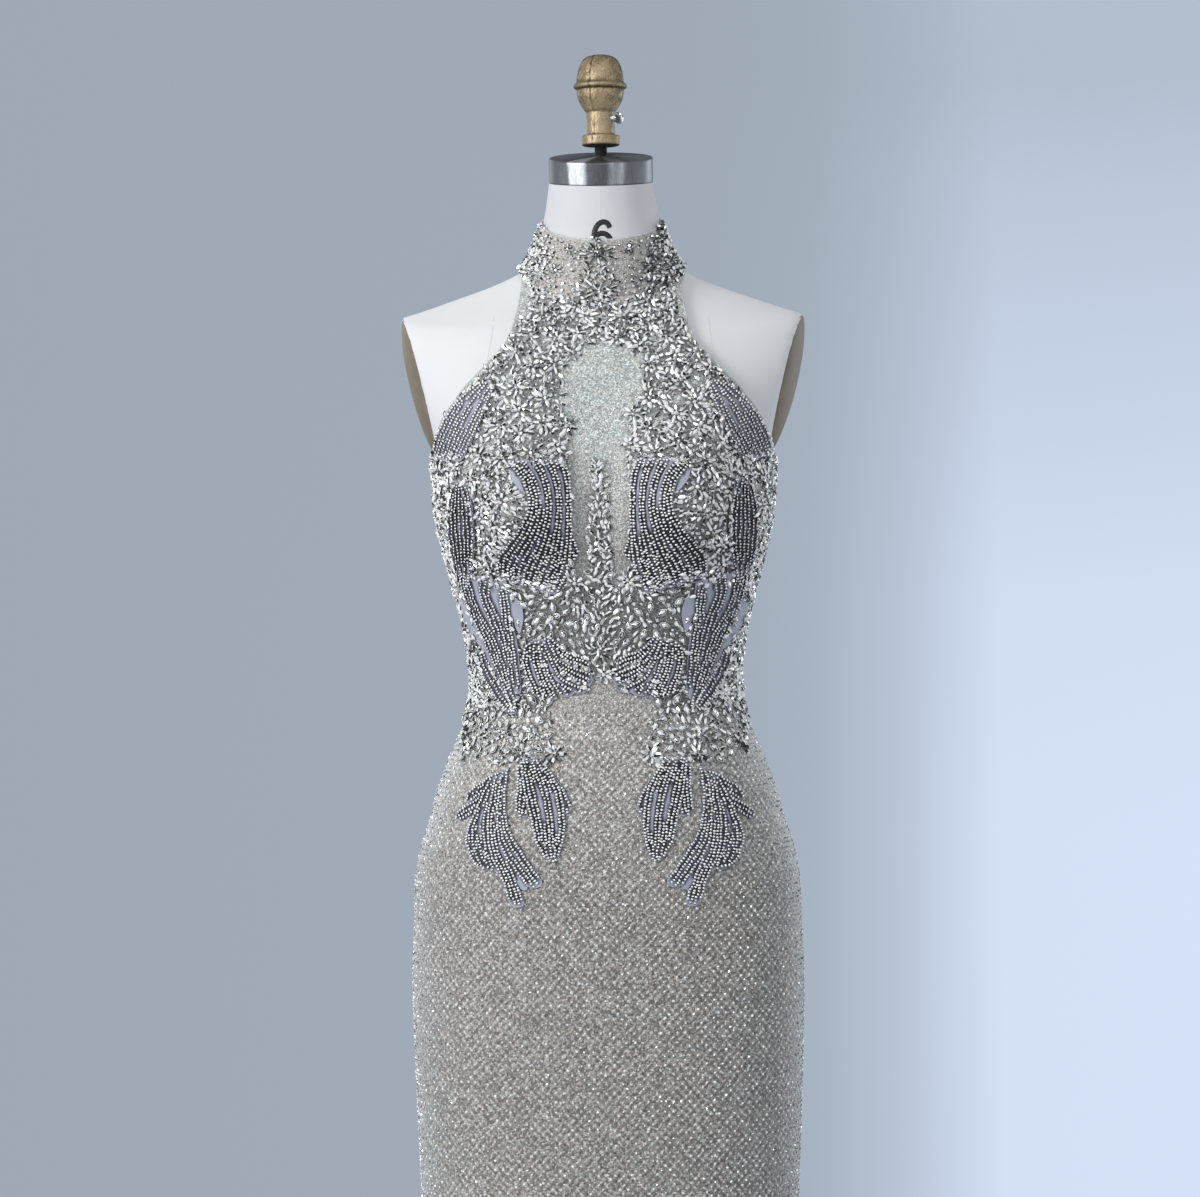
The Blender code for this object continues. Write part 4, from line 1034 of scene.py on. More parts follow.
class GownColours(bpy.types.PropertyGroup):
    """Colours of the cloth, stones, metal and studio."""
    skirt_net: colour_of("Skirt net", "Beige-grey net of the skirt", (0.40, 0.383, 0.368))
    waist_net: colour_of("Waist net", "Paler net at the waist", (0.50, 0.483, 0.465))
    collar_net: colour_of("Collar net", "Warm white net of the collar", (0.60, 0.58, 0.56))
    keyhole_net: colour_of("Keyhole net", "Pale green-white net at the chest", (0.66, 0.705, 0.69))
    leaf_ground: colour_of("Leaf ground", "Lavender-grey cloth of the leaves", (0.46, 0.48, 0.58))
    form_cover: colour_of("Form cover", "White cotton of the dress form", (0.83, 0.84, 0.86))
    arm_plate: colour_of("Arm plate", "Brown of the arm plates", (0.20, 0.17, 0.13))
    neck_cap: colour_of("Neck cap", "Brushed steel of the cap", (0.42, 0.44, 0.48))
    knob_gold: colour_of("Knob gold", "Gold of the knob", (0.43, 0.335, 0.20))
    # This brown also serves as the knob's painted shade.
    knob_shade: colour_of("Knob shade", "Dark brown in the knob's hollows", (0.06, 0.04, 0.022))
    stand: colour_of("Stand", "Powder coat of the stand", (0.03, 0.03, 0.033))
    floor: colour_of("Floor", "Pale studio floor", (0.55, 0.59, 0.64))
    backdrop: colour_of("Backdrop", "Pale blue-grey behind the gown", (0.345, 0.398, 0.465))


def sizes():
    return bpy.context.scene.gown_sizes


def colour_of_user(name):
    return tuple(getattr(bpy.context.scene.gown_colours, name))


def mm(value):
    return value / MM


def cloth_face():
    """How far the outer face of the cloth stands off the body, mm."""
    return CLOTH_CLEARANCE + mm(sizes().cloth)


# ---------------------------------------------------------------- finishes
# Nets: their colour below and above, contrast, painted edge sheen, and what else net_finish takes.
NETS = {
    "skirt_net": ("skirt_net", "waist_net", 0.85, 0.8, dict(rise=(0.90, 1.03), woven=True)),
    "bodice_net": ("waist_net", "keyhole_net", 0.75, 0.4, dict(rise=(1.20, 1.31), covered=0.65, density=800.0)),
    "edge_net": ("keyhole_net", "keyhole_net", 0.2, 0.2, {}),
    "back_net": ("waist_net", "keyhole_net", 0.9, 0.6, dict(rise=(1.15, 1.40), woven=True)),
    "collar_net": ("collar_net", "collar_net", 0.4, 0.2, dict(covered=0.95, density=800.0)),
}
# Stones, beads and teeth: colours by tint, metallic, roughness, and constants of their shader.
TINTED = {
    "leaf_bead": ([(0.0, (0.012, 0.012, 0.02)), (0.25, (0.06, 0.064, 0.10)), (0.42, (0.36, 0.38, 0.48)),
                   (0.6, (1.0, 1.0, 1.0))], 0.1, 0.28, {"specular_ior_level": 0.4}),
    "crystal": ([(0.0, (0.02, 0.022, 0.022)), (0.14, (0.12, 0.13, 0.13)), (0.28, (0.48, 0.51, 0.51)),
                 (0.47, (1.0, 1.0, 1.0))], 0.2, 0.17, {}),
    "seed_bead": ([(0.0, (0.05, 0.05, 0.05)), (0.4, (0.32, 0.33, 0.32)), (0.8, (0.92, 0.93, 0.93))], 0.5, 0.2, {}),
    "net_bead": ([(0.0, (0.12, 0.115, 0.11)), (0.25, (0.40, 0.385, 0.37)), (0.5, (0.78, 0.77, 0.75)),
                  (0.85, (1.0, 1.0, 0.99))], 0.15, 0.2, {}),
    "zip_tooth": ([(0.0, (0.30, 0.30, 0.30)), (0.5, (0.42, 0.42, 0.41)), (1.0, (0.55, 0.55, 0.54))], 0.0, 0.4, {}),
}


def net(name):
    lower, upper, contrast, edge_sheen, more = NETS[name]
    return net_finish(name, colour_of_user(lower), contrast, edge_sheen, colour_of_user(upper), **more)


def tinted(name):
    stops, metallic, roughness, constants = TINTED[name]
    return tinted_finish(name, stops, metallic, roughness, **constants)


def leaf_ground_finish():
    """Lavender-grey cloth, pale where it is bare, and painted in shade near its beads."""
    colour = colour_of_user("leaf_ground")

    def feeds(tree):
        threads = use(tree, "Cloth Grain", Threads=1800.0, Blotches=60.0)
        cloth = mixed(threads["Value"], scaled(colour, 0.85), scaled(colour, 1.2))
        # Painted shade: near beads the ground is nearly black.
        return {"Base Color": mixed(kept_value(tree, "bare"), scaled(colour, 0.05), cloth),
                "Normal": bump(threads["Height"], 0.0003, 0.6)}

    return finish("leaf_ground", colour, feeds, roughness=0.62, specular_ior_level=0.2)


def cover_finish():
    """White cotton with a fine weave and faint handling marks, and painted shade that darkens the neck above the
    collar.
    """
    colour = colour_of_user("form_cover")

    def feeds(tree):
        threads = use(tree, "Cloth Grain", Threads=1700.0, Blotches=7.0)
        wear = use(tree, "Handling Wear", Scale=24.0, Amount=0.5)
        soft = mixed(threads["Value"], scaled(colour, 0.95), scaled(colour, 1.03))
        # Painted shade: the neck is darker from 1.46 m up.
        soft = mixed(span(axis(place(tree), "Z"), 1.46, 1.50), soft, times(soft, (0.87, 0.87, 0.88)))
        return {"Base Color": mixed(wear["Mask"] * 0.06, soft, (0.55, 0.52, 0.47)),
                "Normal": bump(threads["Height"], 0.00025, 0.5)}

    return finish("form_cover", colour, feeds, roughness=0.78, sheen_weight=0.15)


def painted_finish(name, colour, roughness, metallic=0.0, grain=900.0, depth=0.0002, wear=0.5):
    """Paint or powder coat: a fine orange-peel grain, duller where it is handled."""
    def feeds(tree):
        peel = noise(place(tree), grain, 3.0)
        marks = use(tree, "Handling Wear", Scale=45.0, Amount=wear)
        return {"Base Color": mixed(marks["Mask"] * 0.5, scaled(colour, 0.92), scaled(colour, 1.5)),
                "Roughness": (roughness - 0.06) + peel * 0.14, "Normal": bump(peel, depth, 0.6)}

    return finish(name, colour, feeds, metallic, roughness)


def cap_finish():
    """Brushed steel with painted reflections: two upright light stripes with dark steel between."""
    colour = colour_of_user("neck_cap")

    def feeds(tree):
        where = place(tree)
        turn = maths("ARCTAN2", axis(where, "X"), axis(where, "Y") * -1.0)
        across = span(turn, -pi, pi) + (noise(where, 420.0, 4.0) - 0.5) * 0.012
        # Painted reflection: light upright stripes round the cap, dark steel between.
        reflection_bands = ramp(across, [(0.0, 0.25), (0.25, 0.24), (0.36, 0.15), (0.396, 0.12), (0.405, 0.9), (0.425, 0.72),
                              (0.438, 1.0), (0.452, 0.8), (0.463, 0.10), (0.52, 0.08), (0.536, 0.42), (0.55, 0.26),
                              (0.567, 0.40), (0.58, 0.12), (0.66, 0.22), (0.75, 0.28), (1.0, 0.25)])
        lines = noise(node(tree, "Mapping", {"Vector": where, "Scale": (900, 900, 40)}), 1.0, 4.0)
        marks = use(tree, "Handling Wear", Scale=80.0, Amount=0.4)
        steel = mixed(reflection_bands, scaled(colour, 0.20), scaled(colour, 2.1))
        return {"Base Color": times(steel, ramp(lines, [(0.25, 0.62), (0.75, 1.0)])),
                "Roughness": lines * 0.22 + (0.22 + marks["Mask"] * 0.12), "Normal": bump(lines, 0.0001, 0.35)}

    return finish("neck_cap", colour, feeds, 0.6, 0.4, anisotropic=0.5, specular_tint=(0.25, 0.25, 0.27, 1.0))


def knob_finish():
    """Rough cast metal in gold paint, dark brown in the casting's hollows.  Painted shade darkens its edges as seen,
    the groove under its ring and its underside, and painted light makes its upper part darker and its lower part
    lighter.
    """
    gold, shade = colour_of_user("knob_gold"), colour_of_user("knob_shade")

    def feeds(tree):
        where = place(tree)
        patches = noise(where, 950.0, 3.0, Roughness=0.6)
        grain = (patches - 0.5) * 2.4 + (noise(where, 110.0, 2.0) - 0.5) * 0.9
        # Painted shade: darker towards the edges as seen.
        dark = maths("ADD", kept_value(tree, "hollow") + facing(tree) ** 1.6 * 0.85, grain, clamp=True)
        return {"Base Color": mixed(dark, gold, shade), "Roughness": 0.36 + dark * 0.3,
                "Normal": bump(patches, 0.0004, 0.8)}

    return finish("neck_knob", gold, feeds, 0.45, 0.45)


def thread_finish():
    """Black steel with a fine screw thread."""
    def feeds(tree):
        thread = node(tree, "TexWave", {"Vector": place(tree), "Scale": 251.0}, 1, bands_direction="Z")
        return {"Base Color": ramp(thread, [(0.55, 0.005), (0.9, 0.035)]), "Normal": bump(thread, 0.0004, 0.8)}

    return finish("post", (0.008, 0.008, 0.009), feeds, 0.0, 0.42, specular_ior_level=0.25)


def chrome_finish(name, colour, roughness):
    def feeds(tree):
        marks = use(tree, "Handling Wear", Scale=260.0, Amount=0.5)["Mask"]
        return {"Base Color": mixed(marks, colour, scaled(colour, 0.7)), "Roughness": roughness + marks * 0.15}

    return finish(name, colour, feeds, 1.0, roughness)


def tape_finish():
    def feeds(tree):
        threads = use(tree, "Cloth Grain", Threads=1500.0, Blotches=40.0)
        return {"Base Color": mixed(threads["Value"], (0.30, 0.30, 0.295), (0.52, 0.52, 0.51)),
                "Normal": bump(threads["Height"], 0.0004, 0.8)}

    return finish("zip", (0.40, 0.40, 0.39), feeds, roughness=0.6)


def floor_finish():
    colour = colour_of_user("floor")
    return finish("floor", colour, lambda tree: {"Base Color": mixed(noise(place(tree), 3.0, 4.0), scaled(colour, 0.94),
                                                                     scaled(colour, 1.04))}, roughness=0.6)


# ---------------------------------------------------------------- pieces
NARROW = 0.06              # between two panels where their edges are sewn together, mm
CENTRE_CLEAR = 3.6         # kept free of beads on both sides of the zip, mm
HEART_GAP = 19.5           # between the small flowers of the bodice, mm
PETAL_GAP = 3.0
SEED_BEADS, NET_BEADS = 5200, 4200
BEHIND = 1.5 * pi          # turn of the centre back


def panel_grid(levels, start, end, columns):
    """Turns and section heights of a panel whose two edges are given at each level."""
    z = np.repeat(np.asarray(levels, float)[:, None], columns + 1, axis=1)
    share = np.linspace(0, 1, columns + 1)[None, :]
    return np.asarray(start)[:, None] * (1 - share) + np.asarray(end)[:, None] * share, z


def back_edge(z):
    """The centre-back edge: beside the zip, then a closed seam below it."""
    return pi / 2 - turn_to_x(np.where(z >= ZIP_END, ZIP_GAP / 2, NARROW / 2), z)


def cloth_panel(part, levels, start, end, columns, material, slot):
    """The cloth of one solid panel, with where each of its points lies in the net's lattice."""
    phi, z = panel_grid(levels, start, end, columns)
    points, faces = wall_mesh(phi, z, CLOTH_CLEARANCE, cloth_face())
    obj = build(f"{part}_cloth", points, faces, material, sharp=50, slot=slot)
    knots = np.stack([along_ring(phi, z) / mm(sizes().net_pitch), z / mm(sizes().net_rise), 0 * z], axis=-1)
    keep_values(obj, "net", np.tile(knots.reshape(-1, 3), (2, 1)))
    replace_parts(obj, part)
    return obj


def back_panels(part, levels, side, columns, material, slot):
    """The left and the right back panel, from side seam or halter edge to the zip."""
    middle = back_edge(levels)
    return [cloth_panel(f"{part}_{name}", levels, start, end, columns, material, slot) for name, start, end in (
        ("left", pi + side, BEHIND - middle), ("right", BEHIND + middle, 2 * pi - side))]


class GOWN_OT_skirt_cloth(bpy.types.Operator):
    """Makes the skirt's three panels and its hem"""
    bl_idname = "gown.skirt_cloth"
    bl_label = "Skirt Cloth"

    def execute(self, context):
        levels = np.concatenate([np.linspace(HEM, 440, 44), np.linspace(448, WAIST_SEAM - NARROW, 70)])
        edge, back = turn_to_y(NARROW / 2, "front", levels), turn_to_y(NARROW / 2, "back", levels)
        cloth = net("skirt_net")
        front = cloth_panel("skirt_front", levels, edge, pi - edge, 72, cloth, "skirt_net")
        left, right = back_panels("skirt_back", levels, back, 36, cloth, "skirt_net")
        fold = [(-1.9, -1.3), (1.9, -1.3), (1.9, 0.9), (1.2, 1.3), (-1.2, 1.3), (-1.9, 0.9)]
        turns = np.linspace(0, 2 * pi, 360, endpoint=False)
        middle = CLOTH_CLEARANCE + mm(sizes().cloth) / 2
        hem = build("skirt_hem", *sweep_on(turns, HEM + 2.0, middle, fold, closed=True), cloth, sharp=40,
                    slot="skirt_net")
        return {"FINISHED"}


class GOWN_OT_skirt_beads(bpy.types.Operator):
    """Sews small beads over the skirt in a lattice, fewer towards the hem"""
    bl_idname = "gown.skirt_beads"
    bl_label = "Skirt Beads"

    def execute(self, context):
        s = sizes()
        rng = np.random.default_rng(11)
        size = mm(s.net_bead)
        phi, z = lattice(HEM + 5.0, WAIST_SEAM + 24, mm(s.net_pitch), mm(s.net_rise))
        x, _, height = true_place(phi, z)
        back = np.sin(phi) < 0
        zip_side = back & (np.abs(x) < CENTRE_CLEAR) & (z > ZIP_END - 6)
        waist = (z > WAIST_SEAM) & ((np.abs(x) > 44) | (height > 1086) | back)
        keep = ~zip_side & ~waist & (rng.random(len(z)) < 0.38 + 0.62 * ease((z - HEM) / 660))
        phi, z = strayed(rng, phi[keep], z[keep])
        phi, z = spaced(np.array([phi, z]), 0.0, taken=blocked_places(0.0), taken_gap=-2.0)
        z, n = np.clip(z, HEM + 2, None), len(phi)
        slant = pi / 4 * np.where(rng.random(n) < 0.5, 1, -1) + rng.normal(0, 0.35, n)
        places, axes = seated(phi, z, slant, rng.normal(0, 0.28, (n, 2)), cloth_face() + 0.2 * size)
        # Painted glints: some beads are a little bigger and painted white all over.
        sparkle = rng.random(n) < 0.09
        big = size / 2 * rng.uniform(0.75, 1.0, n) * np.where(sparkle, 1.3, 1.0) * (1 + 0.35 * ease((520 - z) / 500))
        scale = np.column_stack([big * np.where(sparkle, 1.1, rng.uniform(1.1, 1.6, n)), big, big * 0.95])
        for name, part in (("skirt_beads_upper", z > 620), ("skirt_beads_lower", z <= 620)):
            groups = [(shape, places[part & kind], axes[part & kind], scale[part & kind])
                      for shape, kind in ((SPARK, ~sparkle), (SPARKLE, sparkle))]
            scattered(name, groups, tinted("net_bead"), rng, False, "skirt_net", 0.8)
        return {"FINISHED"}


class GOWN_OT_bodice_cloth(bpy.types.Operator):
    """Makes the halter's front and back panels with a fine piping round their edges"""
    bl_idname = "gown.bodice_cloth"
    bl_label = "Bodice Cloth"

    def execute(self, context):
        thickness, columns = mm(sizes().cloth), 84
        levels = np.concatenate([np.linspace(WAIST_SEAM, UNDERARM, 70),
                                 np.linspace(UNDERARM + 2.5, NECK_SEAM - 0.3, 56)])
        edge = arm_turn(levels, "front", NARROW)
        front = cloth_panel("bodice_front", levels, edge, pi - edge, columns, net("bodice_net"), "bodice_net")
        mark_stone_shade(front, *panel_grid(levels, edge, pi - edge, columns))
        left, right = back_panels("bodice_back", levels, arm_turn(levels, "back", NARROW), 28, net("back_net"),
                                  "bodice_net")
        high = np.linspace(UNDERARM, NECK_SEAM - 1, 90)
        before, behind = arm_turn(high, "front", NARROW), arm_turn(high, "back", NARROW)
        cord = ring_outline(8) * 0.95
        parts = [sweep_on(turn, high, CLOTH_CLEARANCE + thickness * 0.6, cord)
                 for turn in (before, pi - before, pi + behind, 2 * pi - behind)]
        arch = through([(-29.5, 1306), (-32, 1330), (-34.5, 1350), (-32, 1370), (-22, 1385), (-6, 1391.5), (14, 1390.5),
                        (29, 1384), (38, 1368), (37, 1350), (32, 1330), (26, 1308)], 120)
        parts.append(sweep_on(*on_front(arch[:, 0], arch[:, 1]), cloth_face() + 0.1, cord * 0.5))
        piping = build("halter_piping", *join(parts), net("edge_net"), slot="bodice_net")
        return {"FINISHED"}


def mark_stone_shade(front, phi, z):
    """Keeps how far crystals cover the cloth at each of its points, as how much painted shade the net gets between
    them.
    """
    share = front_cover(phi, z) * np.where(open_work(phi, z), 0.95, 1.0) * (1 - openings(phi, z))
    around = [np.roll(share, step, way) for way in (0, 1) for step in (1, -1)]
    keep_values(front, "covered", np.tile(sum(around, share).ravel() / 5, 2))


class GOWN_OT_collar(bpy.types.Operator):
    """Makes the stand collar and the piping of its top edge"""
    bl_idname = "gown.collar"
    bl_label = "Collar"

    def execute(self, context):
        levels = np.linspace(NECK_SEAM + 0.3, COLLAR_TOP, 26)
        middle = back_edge(levels)
        collar = cloth_panel("collar", levels, middle - pi / 2, BEHIND - middle, 120, net("collar_net"), "bodice_net")
        start = float(back_edge(np.array([COLLAR_TOP]))[0])
        turns = np.linspace(-pi / 2 + start, BEHIND - start, 220)
        out = CLOTH_CLEARANCE + mm(sizes().cloth) * 0.6
        piping = build("collar_piping", *join([sweep_on(turns, level, out, ring_outline(8) * size) for level, size in (
            (COLLAR_TOP - 0.4, 1.0), (NECK_SEAM + 0.2, 0.9))]), net("edge_net"), slot="bodice_net")
        return {"FINISHED"}


class GOWN_OT_leaves(bpy.types.Operator):
    """Makes the leaf appliques: ground cloth and rows of beads"""
    bl_idname = "gown.leaves"
    bl_label = "Beaded Leaves"

    def execute(self, context):
        s = sizes()
        rng = np.random.default_rng(23)
        bead, apart = mm(s.leaf_bead), mm(s.leaf_rows)
        layout = leaf_layout(mm(s.leaf_pitch), apart)
        groups = []
        for name, patches in LEAVES.items():
            on_skirt = name in ("leaf_hip_outer", "leaf_hip_inner")
            low = cloth_face() + (1.1 if on_skirt else 1.9)
            shapes = {"leaf_waist_long": [STEM_GROUND], "leaf_hip_outer": [*patches, TAIL_GROUND]}.get(name, patches)
            beads = nearest(layout[name] * (1, 1, 0))
            for side, tag in ((1, "right"), (-1, "left")):
                parts, bare = [], []
                for order, patch in enumerate([*shapes, *BARE.get(name, [])]):
                    flat = ground_shape(patch, apart)
                    if side > 0:
                        flat = flat[:, ::-1]
                    lift = low - 0.06 * order
                    parts.append(wall_mesh(*on_front(side * flat[..., 0], flat[..., 1]), lift, lift + GROUND_CLOTH))
                    # The kept value is 1 where the ground shows its own colour: far from beads, at its rim, and at
                    # least the share above; near beads it falls, and the ground is painted in shade there.
                    near = np.array([beads.find((x, height, 0))[2] for x, height in flat.reshape(-1, 2)])
                    rim = np.pad(np.zeros(np.subtract(flat.shape[:2], 2)), 1, constant_values=0.8)
                    bare.append(np.tile(np.maximum.reduce([ease((near - 1.75) / 1.1), rim.ravel(), np.full(
                        near.shape, GROUND_SHOWS.get(name, 0.05))]), 2))
                ground = build(f"{name}_{tag}_ground", *join(parts), leaf_ground_finish(), sharp=40, slot="bead_leaf")
                keep_values(ground, "bare", np.concatenate(bare))
                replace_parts(ground, f"{name}_{tag}")
                x, height, turn = (layout[name] + rng.normal(0, (0.22, 0.22, 0.1), layout[name].shape)).T
                phi, z = on_front(side * x, height)
                points, axes = seated(phi, z, np.arctan2(np.sin(turn), -side * np.cos(turn)),
                                      rng.normal(0, 0.08, (len(phi), 2)), low + GROUND_CLOTH + bead * 0.14)
                scale = bead / 2 * np.array(LEAF_BEAD_SHAPE) * rng.uniform(0.86, 1.12, (len(phi), 1))
                groups.append((toned(BEAD, LEAF_TONE.get(name, 0.0)), points, axes, scale))
        scattered("leaf_beads", groups, tinted("leaf_bead"), rng, True, "bead_leaf", 0.35)
        return {"FINISHED"}


def ground_shape(patch, apart):
    """Grid of (from centre, height) points of a leaf's ground cloth, with a rim past the beads."""
    left, right = patch_curves(patch, 15)
    width = np.linalg.norm(left - right, axis=1)
    outward = unit(left - right)
    side = along_line(np.linspace(0, 1, 17), np.linspace(0, 1, 15), outward.T)
    lines = []
    for share in np.linspace(0, 1, max(2 * int(round(width.max() / apart)), 4) + 1):
        line = patch_line(left, right, share, patch.tip)
        start, end = unit(line[0] - line[1]), unit(line[-1] - line[-2])
        line[0] += start * RIM
        line[-1] += end * RIM
        length = lengths(line)
        line = along_line(np.linspace(0, length[-1], 17), length, line.T)
        lines.append(line + side * RIM * (1 - 2 * share))
    return np.stack(lines, axis=1)


def front_cover(phi, z):
    """Where crystals cover the bodice front: not the halter's border, the bare chest nor the waist below."""
    x, _, height = true_place(phi, z)
    side = np.abs(x)
    in_halter = (z < UNDERARM) | (side < halter_edge(z) - 3.0 - np.where(x < 0, 7.0, 3.5) * ease((z - 1418) / 30))
    wave = 1.3 * np.sin(height * 0.62) + 0.9 * np.sin(side * 0.9 + height * 0.23)
    keyhole = np.where(x < 0, width_at(KEYHOLE, height + 0.8 * wave), width_at(KEYHOLE, height + 0.8 * wave, 2))
    bare = side < keyhole + wave
    spray = (height < 1289) & (np.abs(x - SPRAY_MIDDLE) < width_at(SPRAY, height) + 0.5 * wave)
    waist = (height > WAIST_CRYSTALS - 22 * ease((side - 40) / 14)) & ((side > 12) | (height > 1100))
    return in_halter & (~bare | spray) & waist


def openings(phi, z):
    """Small places, 1 in their middle, where the net shows among the crystals above the bust."""
    x, _, height = true_place(phi, z)
    wave = np.sin(x * 0.19 + 1.3) * np.sin(height * 0.165 + 0.5) + 0.5 * np.sin(x * 0.07 - height * 0.11)
    return ease((wave - 0.72) / 0.3) * (height > 1190)


def open_work(phi, z):
    """Where larger flowers and ovals stand with bare net between them."""
    x, _, height = true_place(phi, z)
    return (height < 1066) | ((height > 1098) & (height < 1180) & (np.abs(x) < 84))


def hip_spray(phi, z):
    """Crystals below the waist at both sides of the front."""
    x, _, height = true_place(phi, z)
    side = np.abs(x)
    low = 1022 + 10 * ease((side - 95) / 20) + 3 * np.sin(side * 0.5)
    return (side > 43 + 3 * np.sin(height * 0.45)) & (side < 124) & (height > low) & (height < 1068)


class GOWN_OT_crystals(bpy.types.Operator):
    """Sews crystals over the bodice, with flowers, framed ovals and seed beads between"""
    bl_idname = "gown.crystals"
    bl_label = "Bodice Crystals"

    def placed(self, rng, taken):
        """Framed ovals and marquises that have places of their own: turn, section height, angle and half sizes."""
        ovals, marquises = [], []

        def framed(x, height, angle, length, width):
            ovals.append((*as_seen(x, height, angle), length / 2, width / 2))
            for a, reach in product(np.arange(0, 2 * pi, pi / 4), (0.3, 0.75)):
                u, v = reach * length / 2 * cos(a), reach * width / 2 * sin(a)
                taken.append(front_point(x + u * cos(angle) - v * sin(angle),
                                         height + u * sin(angle) + v * cos(angle)))

        def stone(kind, x, height, angle, length, width):
            kind.append((*as_seen(x, height, angle), length, width))
            taken.append(front_point(x, height))

        for side in (1, -1):
            for x, height, petals, radius, length in FLOWERS:
                turn = rng.uniform(0, 1)
                for a in (2 * pi * (k + turn) / petals for k in range(petals)):
                    at = side * x + radius * cos(a), height + radius * sin(a), a
                    if petals == 7:
                        framed(*at, length * 0.95, 6.0)
                    else:
                        stone(marquises, *at, length / 2, 1.9)
                stone(ovals, side * x, height, 0.0, 2.6, 2.6)
            for x, height, turn, length in OVALS:
                jitter = rng.normal(0, 0.8, 2)
                a = radians(turn) + rng.normal(0, 0.2)
                grown = 1.25 if height < 1090 else 1.15
                framed(side * x + jitter[0], height + jitter[1], a if side > 0 else pi - a, length * grown,
                       length * 0.6 * grown)
        # The centre spray: uneven leaves up a wavering stem, and a star at its foot.
        for a in np.arange(8) * pi / 4 + 0.2:
            stone(marquises, SPRAY_MIDDLE + 6.8 * cos(a), 1121 + 7.5 * sin(a), a, 4.4, 1.8)
        for height in np.arange(1284, 1134, -7.2):
            reach = width_at(SPRAY, height)
            middle = SPRAY_MIDDLE + 0.25 * reach * sin(height * 0.21)
            stone(marquises, middle + rng.normal(0, 0.7), height, pi / 2 + rng.normal(0, 0.4), 3.7, 1.8)
            for side in (1, -1):
                lean = pi / 2 - side * rng.uniform(0.55, 1.25)
                away = side * (2.0 + rng.uniform(0.35, 0.6) * reach)
                stone(marquises, middle + away, height + rng.uniform(-1.0, 4.0), lean, rng.uniform(3.2, 4.3),
                      rng.uniform(1.5, 1.9))
        return ovals, marquises

    def execute(self, context):
        s = sizes()
        rng = np.random.default_rng(37)
        base = cloth_face()
        taken = list(blocked_places(2.0))
        ovals, marquises = self.placed(rng, taken)

        # Candidates all round the bodice.
        z, phi = drawn(rng, 90000, (1020, NECK_SEAM - 1), (-0.42, pi + 0.42))
        front = np.sin(phi) > 0
        hip = hip_spray(phi, z)
        cover = front & (front_cover(phi, z) | hip) & ((z > WAIST_SEAM) | hip)
        past_side = np.clip(-np.sin(phi) / 0.40, 0, 1)
        x = true_place(phi, z)[0]
        back = ~front & (z > WAIST_SEAM + 6) & ((z < UNDERARM - 5) | (np.abs(x) < halter_edge(z) - 5))
        keep = cover | (back & (rng.random(len(z)) > past_side))
        phi, z = phi[keep], z[keep]

        # Small flowers all over: a round stone and petals round it.
        hearts = spaced(np.array([phi, z]), HEART_GAP, taken=taken, taken_gap=4.5)
        n = hearts.shape[1]
        petals = blooms(*hearts, 7, rng.uniform(5.4, 6.4, n), rng.uniform(0, 1, n))
        petals = spaced(petals, PETAL_GAP, taken=taken, taken_gap=4.0)
        reach = halter_edge(petals[1]) + np.where(petals[1] < UNDERARM, 99, -2.5)
        petals = petals[:, np.abs(true_place(*petals[:2])[0]) < reach]

        # Stones between them, lying round the nearest flower like more leaves.
        past_side = np.clip(-np.sin(phi) / 0.40, 0, 1)
        gap = mm(s.crystal_gap) * (1 + 1.4 * past_side) * rng.choice([0.92, 1.0, 1.15], len(phi), p=[0.3, 0.5, 0.2])
        gap = gap * np.where(z < WAIST_SEAM, 1.35, np.where(open_work(phi, z), 1.15, 1.0))
        gap = gap * (1 + 1.2 * openings(phi, z))
        heart_points = base_skin(*hearts)
        settled = [*taken, *heart_points, *base_skin(*petals[:2])]
        phi, z = spaced(np.array([phi, z]), gap, taken=settled, taken_gap=3.5)
        flowers = nearest(heart_points)
        points, around, up, _ = surface(phi, z)
        away = points - np.array([flowers.find(p)[0] for p in points])
        angle = np.arctan2(np.sum(away * up, axis=1), np.sum(away * around, axis=1)) + rng.normal(0, 0.35, len(phi))
        phi, z = np.concatenate([phi, petals[0]]), np.concatenate([z, petals[1]])
        angle = np.concatenate([angle, petals[2] + rng.normal(0, 0.08, petals.shape[1])])
        n = len(phi)
        petal = np.arange(n) >= n - petals.shape[1]
        points, axes = seated(phi, z, angle, rng.normal(0, 0.24, (n, 2)), base + rng.uniform(0.1, 1.0, n) + 0.5 * petal)
        # Stones that overlap a leaf lie on top of it.
        leaves, out = nearest(blocked_places(0.0)), surface(phi, z)[3]
        over = np.array([leaves.find(p)[2] for p in base_skin(phi, z)]) < 2.0
        points = points + out * (2.3 * over)[:, None]
        kind = rng.random(n)
        length = mm(s.crystal_length) / 2 * rng.uniform(0.82, 1.15, n)
        width = mm(s.crystal_width) / 2 * rng.uniform(0.85, 1.15, n)
        scale = np.column_stack([length, width, rng.uniform(1.4, 2.1, n)])
        hip = z < WAIST_SEAM
        scale[hip] *= (1.12, 1.08, 1.0)
        rounds = (kind > 0.74) & ~petal
        scale[rounds, 0] = scale[rounds, 1] = rng.uniform(1.3, 2.1, rounds.sum())
        drops = (kind > 0.62) & ~rounds
        large = (kind < 0.07) & ~petal
        long = ~rounds & ~drops & ~large
        n = hearts.shape[1]
        spots, heart_axes = seated(*hearts, rng.uniform(0, 3, n), rng.normal(0, 0.12, (n, 2)), base + 1.1)
        heart_scale = np.column_stack([rng.uniform(1.8, 2.4, n)] * 2 + [np.full(n, 2.0)])
        n = len(phi)
        large_scale = np.column_stack([rng.uniform(3.6, 4.3, n), rng.uniform(2.4, 2.8, n), np.full(n, 2.4)])

        def some(template, part, change=0.0):
            return toned(template, change), points[part], axes[part], scale[part]

